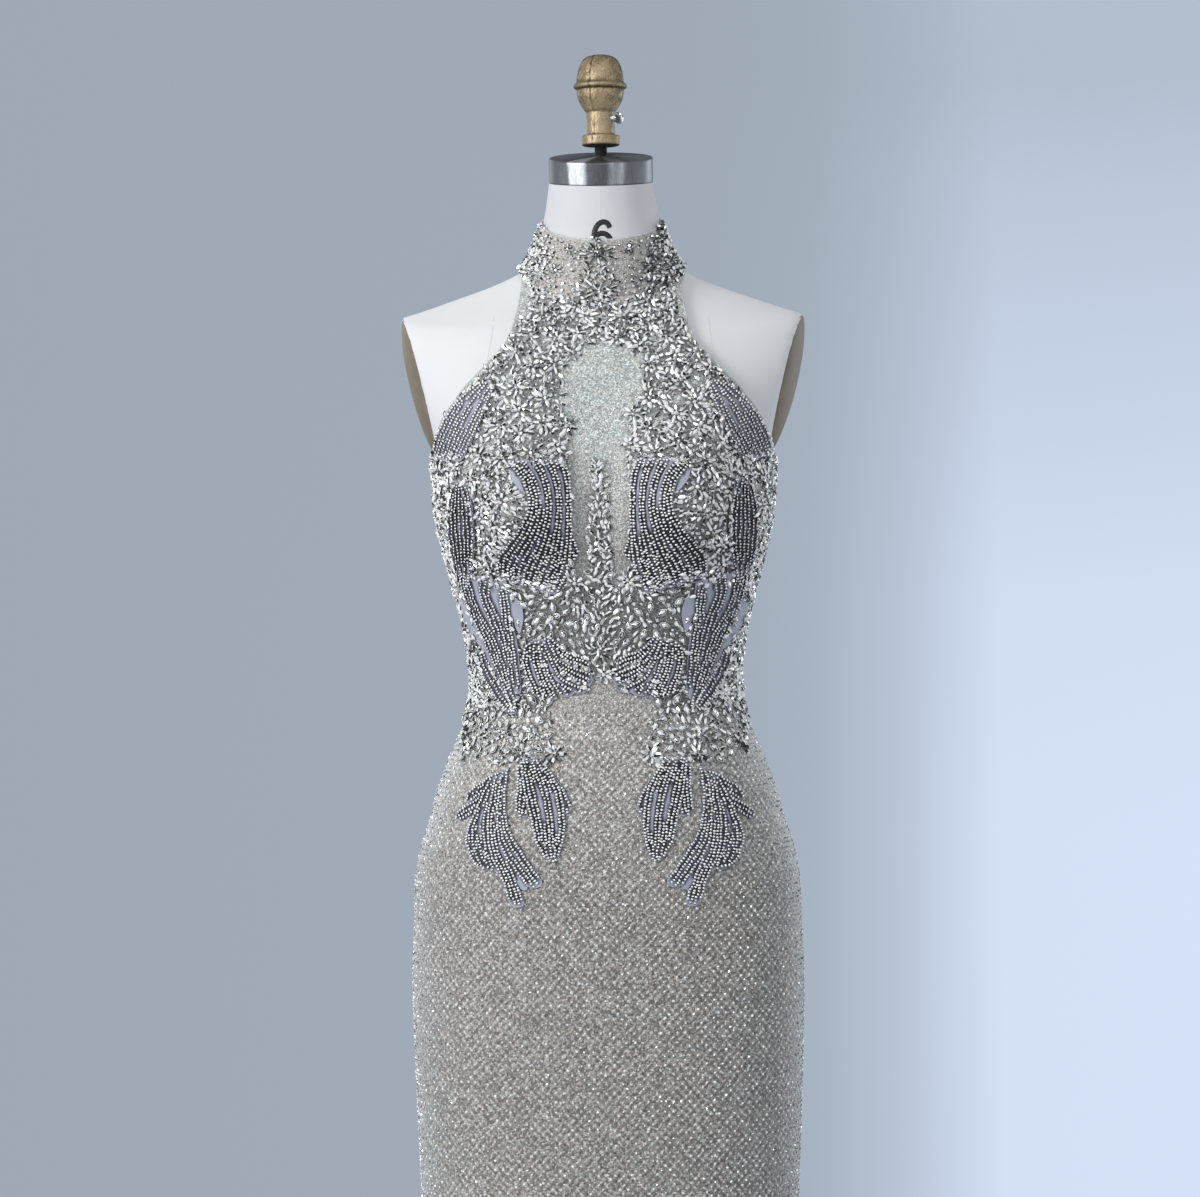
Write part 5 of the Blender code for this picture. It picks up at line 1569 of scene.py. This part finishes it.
        groups = [(RIMMED, points[large] + out[large] * 0.9, axes[large], large_scale[large]),
                  some(MARQUISE, long & ~hip), some(MARQUISE, long & hip & ~petal, -0.12),
                  some(MARQUISE, long & hip & petal, -0.25), some(TEARDROP, drops & ~hip),
                  some(TEARDROP, drops & hip, -0.25),
                  (ROUND, np.concatenate([points[rounds], spots]), np.concatenate([axes[rounds], heart_axes]),
                   np.concatenate([scale[rounds], heart_scale]))]
        for template, stones, high in ((FRAMED, ovals, 2.8), (MARQUISE, marquises, 2.3)):
            p, q, a, long, wide = np.array(stones).T
            spots, frame_axes = seated(p, q, a, rng.normal(0, 0.08, (len(p), 2)), base + 0.9)
            groups.append((template, spots, frame_axes, np.column_stack([long, wide, np.full(len(p), high)])))
        upper = scattered("bodice_crystals", groups, tinted("crystal"), rng, False, "crystal", 1.45)
        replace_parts(upper, "spray_hip_left", "spray_hip_right")

        # Seed beads between the stones.
        fill = drawn(rng, 42000, (0.02, pi - 0.02), (1020, NECK_SEAM - 1))
        fill = fill[:, (front_cover(*fill) & (fill[1] > WAIST_SEAM)) | hip_spray(*fill)]
        around = np.concatenate([taken, base_skin(phi, z), heart_points])
        fill = spaced(fill, 2.0, taken=around, taken_gap=2.0)[:, :SEED_BEADS]
        n = fill.shape[1]
        angle, size = rng.random(n) * pi, mm(s.seed_bead) / 2 * rng.uniform(0.9, 1.15, n)
        sown("bodice_seed_beads", fill, size, angle, base + 0.7, tinted("seed_bead"), rng, True, "crystal", 0.4)
        return {"FINISHED"}


class GOWN_OT_net_beads(bpy.types.Operator):
    """Sews fine beads on the bare net: keyhole, channels, halter edge and back"""
    bl_idname = "gown.net_beads"
    bl_label = "Bodice Net Beads"

    def execute(self, context):
        s = sizes()
        rng = np.random.default_rng(41)
        phi, z = drawn(rng, 60000, (0.02, pi - 0.02), (WAIST_SEAM, NECK_SEAM - 1))
        x, _, height = true_place(phi, z)
        inside = (z < UNDERARM) | (np.abs(x) < halter_edge(z) - 1.5)
        bare = inside & ~front_cover(phi, z) & (height > WAIST_CRYSTALS)
        fine = np.array([phi[bare], z[bare]])
        fine = spaced(fine, 1.95, taken=blocked_places(0.0), taken_gap=1.4)[:, :NET_BEADS]
        # The back carries the skirt's lattice.
        phi, z = lattice(WAIST_SEAM + 2, COLLAR_TOP - 2, mm(s.net_pitch), mm(s.net_rise))
        phi, z = strayed(rng, *(v[np.sin(phi) < 0] for v in (phi, z)))
        side = np.abs(true_place(phi, z)[0])
        on_cloth = (side > CENTRE_CLEAR) & ((z < UNDERARM) | (z > NECK_SEAM) | (side < halter_edge(z) - 1.5))
        coarse = np.array([phi[on_cloth], np.clip(z[on_cloth], WAIST_SEAM + 1, COLLAR_TOP - 1)])
        both = np.concatenate([fine, coarse], axis=1)
        n = both.shape[1]
        share = np.where(np.arange(n) < fine.shape[1], rng.uniform(0.75, 1.0, n), rng.uniform(1.0, 1.4, n))
        size = mm(s.seed_bead) / 2 * share
        angle, lean = rng.random(n) * pi, rng.normal(0, 0.25, (n, 2))
        sown("bodice_net_beads", both, size, angle, cloth_face() + 0.15 * size, tinted("net_bead"), rng, False,
             "bodice_net", 0.7, lean)
        return {"FINISHED"}


# Collar flowers: from the middle, share of the collar's height, petals, petal circle's radius, how low it is for its
# width, and petal length and width.
COLLAR_FLOWERS = [(-3.0, 0.80, 9, 5.4, 0.9, 6.0, 2.6), (-3.0, 0.78, 13, 12.0, 0.60, 8.4, 2.3),
                  (-1.5, 0.18, 9, 6.0, 0.9, 7.0, 2.8), (-1.5, 0.20, 14, 14.5, 0.55, 9.6, 2.6),
                  (-27.0, 0.80, 6, 3.4, 1.0, 3.8, 2.0), (24.0, 0.80, 6, 3.6, 1.0, 4.0, 2.0),
                  (-38.0, 0.42, 8, 4.6, 1.0, 5.0, 2.4), (41.0, 0.45, 9, 5.4, 1.0, 6.0, 2.6)]
# Where stones stand close, by share of the collar's height: half-width of the middle group, and where the left and
# the right group begin.
COLLAR_GROUPS = [((0, 0.1, 0.3, 0.45, 0.65, 0.85, 0.93, 1.0), (12, 20, 17, 11, 10, 12, 5, 0)),
                 ((0, 0.2, 0.3, 0.6, 0.72, 0.8), (70, 56, 40, 40, 48, 60)),
                 ((0, 0.1, 0.3, 0.7, 0.9, 1.0), (50, 42, 38, 40, 43, 48))]


class GOWN_OT_collar_crystals(bpy.types.Operator):
    """Sets crystals on the collar: two flowers at the front, thick groups there and at both sides"""
    bl_idname = "gown.collar_crystals"
    bl_label = "Collar Crystals"

    def execute(self, context):
        s = sizes()
        rng = np.random.default_rng(53)
        base, rise = cloth_face(), COLLAR_TOP - NECK_SEAM
        stones = []

        def put(phi, z, *rest):
            """Stones at these places: angle, half length, half width, height and 1 for a round cut."""
            stones.append(np.column_stack([phi, z, *(np.broadcast_to(value, phi.shape) for value in rest)]))

        for x, up, petals, radius, squat, length, width in COLLAR_FLOWERS:
            z = np.array([NECK_SEAM + up * rise])
            phi = turn_to_x(x, z)
            phi = pi - phi if x < 0 else phi
            put(*blooms(phi, z, petals, np.array([radius]), rng.uniform(0, 1, 1), squat), length / 2, width / 2, 2.4, 0)
            put(phi, z, 0.0, 2.0, 2.0, 2.6, 1)
        # Stones that stand on the top edge: over the upper flower and at both sides.
        for x, count, reach in ((-3.0, 3, 4.0), (-50.0, 6, 2.0), (50.0, 6, 2.0)):
            z = np.full(count, COLLAR_TOP - 0.6) + rng.uniform(-1.0, 1.6, count)
            phi = turn_to_x(np.clip(x + np.linspace(-1, 1, count) * reach, -51.9, 51.9), z)
            put(pi - phi if x < 0 else phi, z, rng.uniform(0, 3, count), 1.9, 1.8, 2.4, 1)

        phi, z = drawn(rng, 16000, (-pi / 2, BEHIND), (NECK_SEAM + 0.5, COLLAR_TOP - 3.5))
        x, y, _ = true_place(phi, z)
        up = (z - NECK_SEAM) / rise
        front = np.sin(phi) > 0
        middle, left, right = (np.interp(up, *table) for table in COLLAR_GROUPS)
        wave = 3 * np.sin(up * 8 + 1)
        behind = (y > 20) & (up > 0.25) & (np.sin(phi * 9) > 0.35) & (np.abs(x) > 8)
        dense = ((front & (np.abs(x + 2.0) < middle)) | (((x < -left + wave) | (x > right + wave)) & (y < 20))
                 | (front & (up < 0.07) & (np.abs(x) > 22)) | (~front & behind))
        kept = (np.abs(x) > 4.5) | front
        order = np.flatnonzero(kept)[np.argsort(~dense[kept], kind="stable")]
        phi, z, dense = phi[order], z[order], dense[order]
        gap = np.where(dense, 0.9 * mm(s.crystal_gap), rng.choice([4.6, 6.2], len(phi)))
        kept = keep_apart(base_skin(phi, z), gap, taken=base_skin(*np.concatenate(stones)[:, :2].T), taken_gap=3.4)
        phi, z, dense = phi[kept], z[kept], dense[kept]
        n = len(phi)
        marquise = dense & (rng.random(n) < 0.55)
        put(phi[marquise], z[marquise], rng.uniform(0, pi, marquise.sum()), mm(s.crystal_length) / 2 * 0.86,
            mm(s.crystal_width) / 2 * 0.92, 2.2, 0)
        size = np.where(dense, rng.uniform(1.4, 2.1, n), rng.uniform(1.0, 2.2, n))[~marquise]
        put(phi[~marquise], z[~marquise], 0.0, size, size, 2.0, 1)
        phi, z, angles, *scales, cuts = np.concatenate(stones).T
        n = len(phi)
        scales = np.column_stack(scales) * rng.uniform(0.9, 1.1, (n, 1))
        points, axes = seated(phi, z, angles, rng.normal(0, 0.24, (n, 2)))
        self.paint_stone_shade(nearest(points))
        points = points + surface(phi, z)[3] * (base + rng.uniform(0.1, 1.2, n))[:, None]
        # Painted shade: stones from just left of the middle across the +X front are toned darker.
        shaded_side = (points[:, 0] > -16) & (points[:, 1] < 0)
        groups = [(toned(template, change), points[part], axes[part], scales[part])
                  for template, cut in ((MARQUISE, cuts == 0), (ROUND, cuts == 1))
                  for part, change in ((cut & ~shaded_side, 0.0), (cut & shaded_side, -0.2))]
        scattered("collar_crystals", groups, tinted("crystal"), rng, False, "crystal", 1.5)
        fill = drawn(rng, 9000, (-pi / 2, BEHIND), (NECK_SEAM + 1, COLLAR_TOP - 2))
        fill = fill[:, (np.sin(fill[0]) > 0) | (np.abs(true_place(*fill)[0]) > CENTRE_CLEAR)]
        fill = spaced(fill, 2.2, taken=base_skin(phi, z), taken_gap=2.4)
        n = fill.shape[1]
        size, angle = mm(s.seed_bead) / 2 * rng.uniform(0.7, 1.05, n), rng.random(n) * pi
        sown("collar_seed_beads", fill, size, angle, base + 0.2, tinted("seed_bead"), rng, True, "crystal", 0.5)
        return {"FINISHED"}

    def paint_stone_shade(self, stones):
        """Keeps the painted shade of the collar's net: darker where stones stand close, and darker still on the +X
        side.
        """
        collar = bpy.data.objects["collar_cloth"]
        places = [vertex.co for vertex in collar.data.vertices]
        # Painted shade: more where stones stand close, and more again on the +X side.
        near = np.array([sum(max(1 - distance / 4.4, 0) for _, _, distance in stones.find_n(mm(1) * co, 4))
                         * (1 + 0.8 * (co.x > 0.025)) for co in places])
        keep_values(collar, "covered", np.clip((near - 0.35) / 0.6, 0, 1))


class GOWN_OT_zip(bpy.types.Operator):
    """Makes the centre-back zip: tape, teeth, and the finish of its slider and pull"""
    bl_idname = "gown.zip"
    bl_label = "Zip"

    def execute(self, context):
        high = np.linspace(ZIP_END + 2, COLLAR_TOP, 260)
        half = pi / 2 - turn_to_x(1.78, high)
        sides = panel_grid(high, BEHIND - half, BEHIND + half, 4)
        tape = build("zip_tape_cloth", *wall_mesh(*sides, CLOTH_CLEARANCE + 0.1, CLOTH_CLEARANCE + 0.9), tape_finish(),
                     sharp=50, slot="zip")
        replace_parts(tape, "zip_tape")
        level = np.arange(ZIP_END + 4, COLLAR_TOP - 1, mm(sizes().tooth_pitch))
        side = np.where(np.arange(len(level)) % 2 == 0, 1.0, -1.0)
        turn = BEHIND + side * (pi / 2 - turn_to_x(0.42, level))
        places, axes = seated(turn, level, np.zeros(len(level)), lift=CLOTH_CLEARANCE + 0.7)
        tooth = faceted([(1.0, 0.55), (0.6, 1.0), (-0.6, 1.0), (-1.0, 0.55), (-1.0, -0.55), (-0.6, -1.0), (0.6, -1.0),
                         (1.0, -0.55)], 0.8)
        teeth = [(tooth, places, axes, np.tile([1.05, 0.52, 0.75], (len(level), 1)))]
        scattered("zip_teeth", teeth, tinted("zip_tooth"), np.random.default_rng(3), False, "zip", 0.2)
        for name in ("zip_slider", "zip_pull"):
            give(name, chrome_finish("zip_metal", (0.62, 0.62, 0.64), 0.24))
        return {"FINISHED"}


def give(name, material):
    """Puts a finish on a solid that is kept."""
    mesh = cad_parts[name].data
    mesh.materials.clear()
    mesh.materials.append(material)


def past_cut(points):
    """How far points of the body lie past the flat cut of the nearer arm, along X."""
    level = ARM_LOW[0] + (points[..., 2] - ARM_LOW[1]) * (ARM_TOP[0] - ARM_LOW[0]) / (ARM_TOP[1] - ARM_LOW[1])
    return np.abs(points[..., 0]) - level - tan(ARM_TURN) * (points[..., 1] - ARM_PLATE_BACK)


class GOWN_OT_dress_form(bpy.types.Operator):
    """Makes the form's cotton cover with its seams and the printed size"""
    bl_idname = "gown.dress_form"
    bl_label = "Dress Form Cover"

    def execute(self, context):
        levels = np.concatenate([np.linspace(FORM_BOTTOM, 1276, 28), np.linspace(1280, NECK_TOP, 92)])
        phi, z = np.meshgrid(np.linspace(0, 2 * pi, 152, endpoint=False), levels)
        points = skin(phi, z, form_inset(z))
        # Each arm is cut flat, with the cover drawn softly over the edge.
        soft = 2.2
        over = past_cut(points)
        high = points[..., 2] > ARM_LOW[1] - 12
        pulled = np.clip(0.5 * (over + np.sqrt(over * over + soft * soft)), 0, None) * ease((over + 6) / 6)
        points[..., 0] -= np.where(high, np.sign(points[..., 0]) * pulled, 0)
        rows, cols = phi.shape
        flat = points.reshape(-1, 3)
        ends = np.array([[0, 0, FORM_BOTTOM], flat[-cols:].mean(axis=0)])
        faces = [grid_faces(rows, cols, around=True), cone(cols, 0, len(flat), down=True),
                 cone(cols, len(flat) - cols, len(flat) + 1)]
        cover = build("form_cover", np.concatenate([flat, ends]), faces, cover_finish(), sharp=55, slot="form_cover")
        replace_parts(cover, "form_torso")
        # Seams: from the middle at the foot and at the top, and the two heights.
        rib = [(-0.75, -0.5), (0.75, -0.5), (0.45, 0.16), (-0.45, 0.16)]
        neck = (0, 0, 1478, NECK_TOP - 1)
        parts = []
        for back, lines in ((1, ((112, 96, 1300, 1436), (-112, -96, 1300, 1436), neck)),
                            (-1, ((98, 84, 1300, 1436), (-98, -84, 1300, 1436), neck))):
            for x_low, x_high, z_low, z_high in lines:
                height = np.linspace(z_low, z_high, 70)
                x = x_low + (x_high - x_low) * ease((height - z_low) / (z_high - z_low))
                turn = turn_to_x(x, height)
                parts.append(sweep_on(np.where(x < 0, pi - turn, turn) * back, height, form_inset(height), rib))
        build("form_seams", *join(parts), painted_finish("form_seam", (0.79, 0.775, 0.75), 0.8), sharp=40,
              slot="form_cover")
        # A plain printed 6 on the front of the neck.
        bowl = [(1.6 + 7.4 * cos(a), 1484.0 + 7.2 * sin(a)) for a in np.radians(np.linspace(170, -190, 49))]
        tail = [(-5.8, 1484.8), (-5.6, 1489.6), (-4.2, 1495.4), (-1.2, 1499.7), (2.8, 1501.4), (6.4, 1500.1),
                (8.6, 1496.2)]
        parts = []
        for path, lift in ((bowl, 0.0), (tail, 0.03)):
            phi, z = on_front(*through(path, 60).T)
            stroke = [(-2.3, -0.3), (2.3, -0.3), (2.3, 0.26 + lift), (-2.3, 0.26 + lift)]
            parts.append(sweep_on(phi, z, form_inset(z), stroke))
        build("size_numeral", *join(parts), painted_finish("printed_black", (0.012, 0.012, 0.014), 0.5), slot="post")
        return {"FINISHED"}


# The knob's outline, (radius, height over its foot), and the grooves that hold dark paint: (height, how dark); the
# darkest, just under the ring, is painted shade.
KNOB = [(0, 82.3), (5, 82.0), (11, 80.6), (15, 78.0), (18, 73.5), (20.2, 67), (21.2, 61), (21.2, 57.6), (21.9, 56.6),
        (23.4, 55.6), (24.1, 53.9), (23.6, 52.3), (22.2, 51.4), (21.1, 50.4), (20.9, 46), (20.0, 42.2), (18.2, 38),
        (15.8, 34), (14.2, 31.8), (13.0, 30.7), (12.7, 29.4), (12.6, 26), (12.6, 20), (12.6, 14), (12.7, 11.2),
        (13.3, 9.9), (15.0, 9.6), (16.6, 9.2), (17.1, 8.2), (17.1, 5), (17.1, 2.2), (16.7, 1.0), (15.4, 0.3), (12.9, 0),
        (0, 0)]
KNOB_GROOVES = ((58.0, 0.35), (50.8, 1.4), (10.6, 0.4), (30.6, 0.5))


class GOWN_OT_form_fittings(bpy.types.Operator):
    """Makes the arm plates, neck cap, knob and thumb screw, and finishes the post and the stand"""
    bl_idname = "gown.form_fittings"
    bl_label = "Form Fittings"

    def execute(self, context):
        self.arm_plates()
        self.cap()
        self.knob()
        self.screw()
        give("neck_post", thread_finish())
        for name in ("stand_pole", "stand_base"):
            give(name, painted_finish("stand", colour_of_user("stand"), 0.5, metallic=0.3, grain=1400.0, depth=0.0004))
        return {"FINISHED"}

    def arm_plates(self):
        """A shallow dome inside each arm cut, with the cut's own outline."""
        spans = 96
        z, phi = np.meshgrid(np.linspace(1270, 1440, 260), np.linspace(-0.9, 0.9, 300), indexing="ij")
        body = skin(phi, z, -FORM_INSET)
        over = past_cut(body)
        edge = []
        for first, second, low, high in ((body[:-1], body[1:], over[:-1], over[1:]),
                                         (body[:, :-1], body[:, 1:], over[:, :-1], over[:, 1:])):
            crossing = (low > 0) != (high > 0)
            share = (low / np.where(crossing, low - high, 1))[crossing][:, None]
            edge.append(first[crossing] + (second - first)[crossing] * share)
        edge = np.concatenate(edge)
        edge = edge[edge[:, 2] > ARM_LOW[1] - 12]
        middle = (edge.max(axis=0) + edge.min(axis=0)) / 2
        lean = (ARM_TOP[0] - ARM_LOW[0]) / (ARM_TOP[1] - ARM_LOW[1])
        out = unit(np.array([1, -tan(ARM_TURN), -lean]))
        across = unit(np.cross((0, 0, 1), out))
        up = np.cross(out, across)
        flat = (edge - middle) @ np.stack([across, up], axis=1)
        order = np.argsort(turn := np.arctan2(flat[:, 1], flat[:, 0]))
        at = np.linspace(-pi, pi, spans, endpoint=False)
        reach = np.interp(at, turn[order], np.hypot(*flat[order].T), period=2 * pi)
        reach = np.convolve(np.concatenate([reach[-2:], reach, reach[:2]]), np.full(5, 0.2), "valid")
        shares = (1.0, 0.985, 0.96, 0.92, 0.86, 0.78, 0.68, 0.56, 0.42, 0.28, 0.14)
        steps = [(1.0, -2.6), *[(k, ARM_DOME * (1 - k ** 2.6) ** 0.8) for k in shares]]
        way = np.cos(at)[:, None] * across + np.sin(at)[:, None] * up
        rings = [middle + (reach * 0.985 * k)[:, None] * way + out * (h - 0.6) for k, h in steps]
        points = np.concatenate([*rings, [middle + out * (ARM_DOME - 0.6), middle - out * 3.2]])
        last = len(steps) * spans
        faces = [grid_faces(len(steps), spans, around=True),
                 np.concatenate([cone(spans, last - spans, last), cone(spans, 0, last + 1, down=True)])]
        brown = painted_finish("arm_plate", colour_of_user("arm_plate"), 0.66, grain=300.0, wear=0.7)
        for side, name in ((1, "right"), (-1, "left")):
            plate = build(f"arm_plate_{name}_shell", points * (side, 1, 1), [f[:, ::side] for f in faces], brown,
                          sharp=40, slot="arm_plate")
            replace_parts(plate, f"arm_plate_{name}")

    def cap(self):
        r, low, high = CAP_RADIUS, SEAM, SEAM + CAP_HEIGHT
        lip = [(r - 1.5 + 1.5 * sin(a), high - 1.5 + 1.5 * cos(a)) for a in np.linspace(0, pi / 2, 7)]
        foot = [(r - 0.8 + 0.8 * cos(a), low + 0.8 - 0.8 * sin(a)) for a in np.linspace(0, pi / 2, 5)]
        rings = [(6.4, high + 1.1), *[(v, high + 1.2 * (1 - (v / r) ** 2)) for v in np.linspace(9, r - 2.5, 16)]]
        side = [(r, v) for v in np.linspace(high - 2, low + 1.2, 12)]
        points, faces = turned([(0, high + 1.15), *rings, *lip, *side, *foot, (0, low)], 144)
        # The cap is a little thicker at the back than at the front.
        points[:, 2] += points[:, 1] * tan(CAP_WEDGE) * np.clip((points[:, 2] - low) / CAP_HEIGHT, 0, 1)
        points = transform(points, Matrix.Translation((0, 0, NECK_TOP)) @ Matrix.Rotation(CAP_TILT, 4, "X"))
        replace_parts(build("neck_cap_shell", points, faces, cap_finish(), sharp=50, slot="neck_cap"), "neck_cap")

    def knob(self):
        rng = np.random.default_rng(5)
        waves = [(rng.uniform(0.10, 0.30), rng.integers(5, 40), rng.uniform(-2.2, 2.2), rng.uniform(0, 6.3))
                 for _ in range(40)]

        def ripple(turn, height):
            total = sum(a * np.sin(n * turn + k * height + p) for a, n, k, p in waves) * 0.07
            total = total * (1 - np.exp(-((height - 54.0) / 3.2) ** 2))
            seam = 0.35 * np.exp(-((np.angle(np.exp(1j * (turn - radians(245)))) * 20) / 0.9) ** 2)
            return total - seam

        points, faces = turned([KNOB[0], *map(tuple, through(KNOB[1:-1], 130)), KNOB[-1]], 144, ripple)
        points = points + (0, 0, KNOB_BOTTOM)
        knob = build("neck_knob_cast", points, faces, knob_finish(), sharp=60, slot="neck_knob")
        # Hollow places, for the dark paint: low spots of the ripple and the grooves beside the ring.  Painted shade and
        # light are added too: shade under the ring and under the foot, the upper part darker and the lower part
        # lighter.
        turn, height = np.arctan2(points[:, 1], points[:, 0]), points[:, 2] - KNOB_BOTTOM
        low = -ripple(turn, height) * 1.6
        groove = sum(share * np.exp(-((height - level) / 0.9) ** 2) for level, share in KNOB_GROOVES)
        under = 0.16 * ease((height - 34) / 8) - 0.12 * ease((30 - height) / 6) + ease((0.9 - height) / 0.6)
        keep_values(knob, "hollow", np.clip(0.08 + low + 0.6 * groove + under, 0, 1))
        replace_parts(knob, "neck_knob")

    def screw(self):
        out = Vector((sin(SCREW_AZIMUTH), -cos(SCREW_AZIMUTH), 0))
        up = Vector((0, 0, 1))
        axes = Matrix((up, out.cross(up), out)).transposed().to_4x4()
        axes.translation = Vector((0, 0, SCREW_HEIGHT))
        threads = [(2.25 + (0.15 if k % 2 else -0.12), 17.6 - 0.24 * k) for k in range(48)]
        half_spade = [(0, 1.15), (3.4, 1.2), (5.0, 1.3), (5.5, 0.8)]
        shank = turned([(0, 17.9), (1.9, 17.9), *threads, (1.9, 5.9), (0, 5.9)], 28)
        collar = turned([(0, 16.6), (3.2, 16.6), (3.6, 16.2), (3.6, 14.9), (3.2, 14.5), (0, 14.5)], 32)
        spade, sides = turned([*half_spade, (5.6, 0), *[(r, -h) for r, h in half_spade[::-1]]], 40)
        spade = transform(spade * (1, 0.86, 1), Matrix.Translation((0, 0, 19.9))
                          @ Matrix.Rotation(SPADE_TURN, 4, "Z") @ Matrix.Rotation(pi / 2, 4, "X"))
        points, quads, tris, count = [], [], [], 0
        for p, f in (shank, collar, (spade, sides)):
            points.append(transform(p, axes))
            quads.append(f[0] + count)
            tris += [f[1] + count, f[2] + count]
            count += len(p)
        piece = build("thumb_screw_chrome", np.concatenate(points), [np.concatenate(quads), np.concatenate(tris)],
                      chrome_finish("screw", (0.75, 0.77, 0.80), 0.12), sharp=35, slot="screw", body=SCREW)
        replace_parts(piece, "thumb_screw")


# Lights: place, width and height, power, colour, and the point each is aimed at.
LIGHTS = {"key_left": ((-2.7, -2.1, 2.1), (1.2, 1.8), 82, (1.0, 0.99, 0.98), (0, 0, 1.1)),
          "fill_right": ((2.6, -2.1, 1.5), (1.0, 1.8), 9.5, (0.95, 0.98, 1.0), (0, 0, 1.1)),
          "front_top": ((0.3, -2.6, 3.0), (1.6, 1.0), 22, (0.98, 0.99, 1.0), (0, 0, 1.2)),
          "back_left": ((-1.9, 2.7, 2.2), (1.0, 1.8), 20, (1.0, 0.98, 0.96), (0, 0, 1.1)),
          "back_right": ((2.4, 2.1, 1.4), (0.8, 1.6), 23, (0.92, 0.96, 1.0), (0, 0, 1.1))}


class GOWN_OT_studio(bpy.types.Operator):
    """Sets up the camera, soft lights, pale floor and surroundings"""
    bl_idname = "gown.studio"
    bl_label = "Studio"

    def execute(self, context):
        scene = context.scene
        scene.view_settings.view_transform = "Standard"
        distance, azimuth, level = 3.5, radians(1.5), 1.167

        def add(name, data):
            made = bpy.data.objects.new(name, data)
            scene.collection.objects.link(made)
            return made

        lens = bpy.data.cameras.new("camera")
        lens.lens, lens.sensor_width = 116.67, 36.0
        camera = scene.camera = add("camera", lens)
        camera.location = (-0.0045 + distance * sin(azimuth), -distance * cos(azimuth), level)
        facing_gown = Matrix.Rotation(azimuth, 4, "Z") @ Matrix.Rotation(pi / 2, 4, "X")
        camera.rotation_euler = (facing_gown @ Matrix.Rotation(radians(-0.54), 4, "Z")).to_euler()
        for name, (stands, size, power, colour, aim) in LIGHTS.items():
            light = bpy.data.lights.new(name, "AREA")
            light.shape, light.size, light.size_y = "RECTANGLE", *size
            light.energy, light.color = power, colour
            lamp = add(name, light)
            lamp.location = stands
            lamp.rotation_euler = (Vector(aim) - Vector(stands)).to_track_quat("-Z", "Y").to_euler()
            lamp.visible_camera = False

        mesh = bpy.data.meshes.new("floor")
        disc = bmesh.new()
        bmesh.ops.create_circle(disc, cap_ends=True, segments=96, radius=2.4)
        disc.to_mesh(mesh)
        disc.free()
        floor = add("floor", mesh)
        floor.location.z = -0.0005
        mesh.materials.append(floor_finish())
        self.surroundings(scene, colour_of_user("backdrop"))
        return {"FINISHED"}

    def surroundings(self, scene, colour):
        world = scene.world = bpy.data.worlds.new("studio")
        world.use_nodes = True
        tree = world.node_tree
        tree.nodes.clear()
        where = node(tree, "TexCoord", out="Generated")
        # The backdrop the camera sees is painted light: lighter towards +X and fading upwards.
        share = ramp(span(axis(where, "X"), -0.18, 0.18),
                     [(0.0, 0.0), (0.5, 0.03), (0.58, 0.16), (0.64, 0.45), (0.71, 0.95), (1.0, 1.0)])
        fall = ramp(span(axis(where, "Z"), -0.06, 0.14),
                    [(0.0, 1.0), (0.3, 0.92), (0.55, 0.70), (0.82, 0.50), (0.95, 0.33)])
        seen = mixed(share * fall, colour, tuple(v * f for v, f in zip(colour, (1.95, 1.92, 2.04))))
        # What stones and metal reflect: bright panels among dark ones.
        cells = node(tree, "TexVoronoi", {"Vector": where, "Scale": 5.5, "Randomness": 1.0})
        panels = ramp(cell_tone(cells), [(0.0, (0.03, 0.032, 0.036)), (0.38, (0.16, 0.17, 0.18)),
                                         (0.62, (0.7, 0.73, 0.76)), (0.84, (1.0, 1.0, 1.0))], constant=True)
        soft = ramp(axis(where, "Z") * 0.5 + 0.5, [(0.0, (0.14, 0.145, 0.155)), (0.5, (0.24, 0.25, 0.265)),
                                                   (1.0, (0.42, 0.44, 0.46))])
        glossy = node(tree, "LightPath", out="Is Glossy Ray")
        shown = mixed(node(tree, "LightPath", out="Is Camera Ray"), mixed(glossy, soft, panels), seen)
        light = node(tree, "Background", {"Color": shown, "Strength": 1.0 + glossy * 0.5})
        feed(tree.nodes.new("ShaderNodeOutputWorld").inputs[0], light)


OPERATORS = (GOWN_OT_studio, GOWN_OT_dress_form, GOWN_OT_form_fittings, GOWN_OT_skirt_cloth, GOWN_OT_bodice_cloth,
             GOWN_OT_collar, GOWN_OT_leaves, GOWN_OT_crystals, GOWN_OT_collar_crystals, GOWN_OT_net_beads,
             GOWN_OT_skirt_beads, GOWN_OT_zip)


class GOWN_PT_looks(bpy.types.Panel):
    """Pieces of the gown and the sizes and colours they use"""
    bl_idname = "GOWN_PT_looks"
    bl_label = "Evening Gown"
    bl_space_type = "VIEW_3D"
    bl_region_type = "UI"
    bl_category = "Gown"

    def draw(self, context):
        column = self.layout.column(align=True)
        for operator in OPERATORS:
            column.operator(operator.bl_idname)
        for settings in (context.scene.gown_sizes, context.scene.gown_colours):
            box = self.layout.box()
            for name in type(settings).__annotations__:
                box.prop(settings, name)


CLASSES = (GownSizes, GownColours, *OPERATORS, GOWN_PT_looks)


def register():
    for kind in CLASSES:
        bpy.utils.register_class(kind)
    bpy.types.Scene.gown_sizes = bpy.props.PointerProperty(type=GownSizes)
    bpy.types.Scene.gown_colours = bpy.props.PointerProperty(type=GownColours)


def unregister():
    del bpy.types.Scene.gown_sizes
    del bpy.types.Scene.gown_colours
    for kind in reversed(CLASSES):
        bpy.utils.unregister_class(kind)


def main():
    register()
    for operator in OPERATORS:
        area, name = operator.bl_idname.split(".")
        getattr(getattr(bpy.ops, area), name)()


if __name__ == "__main__":
    main()
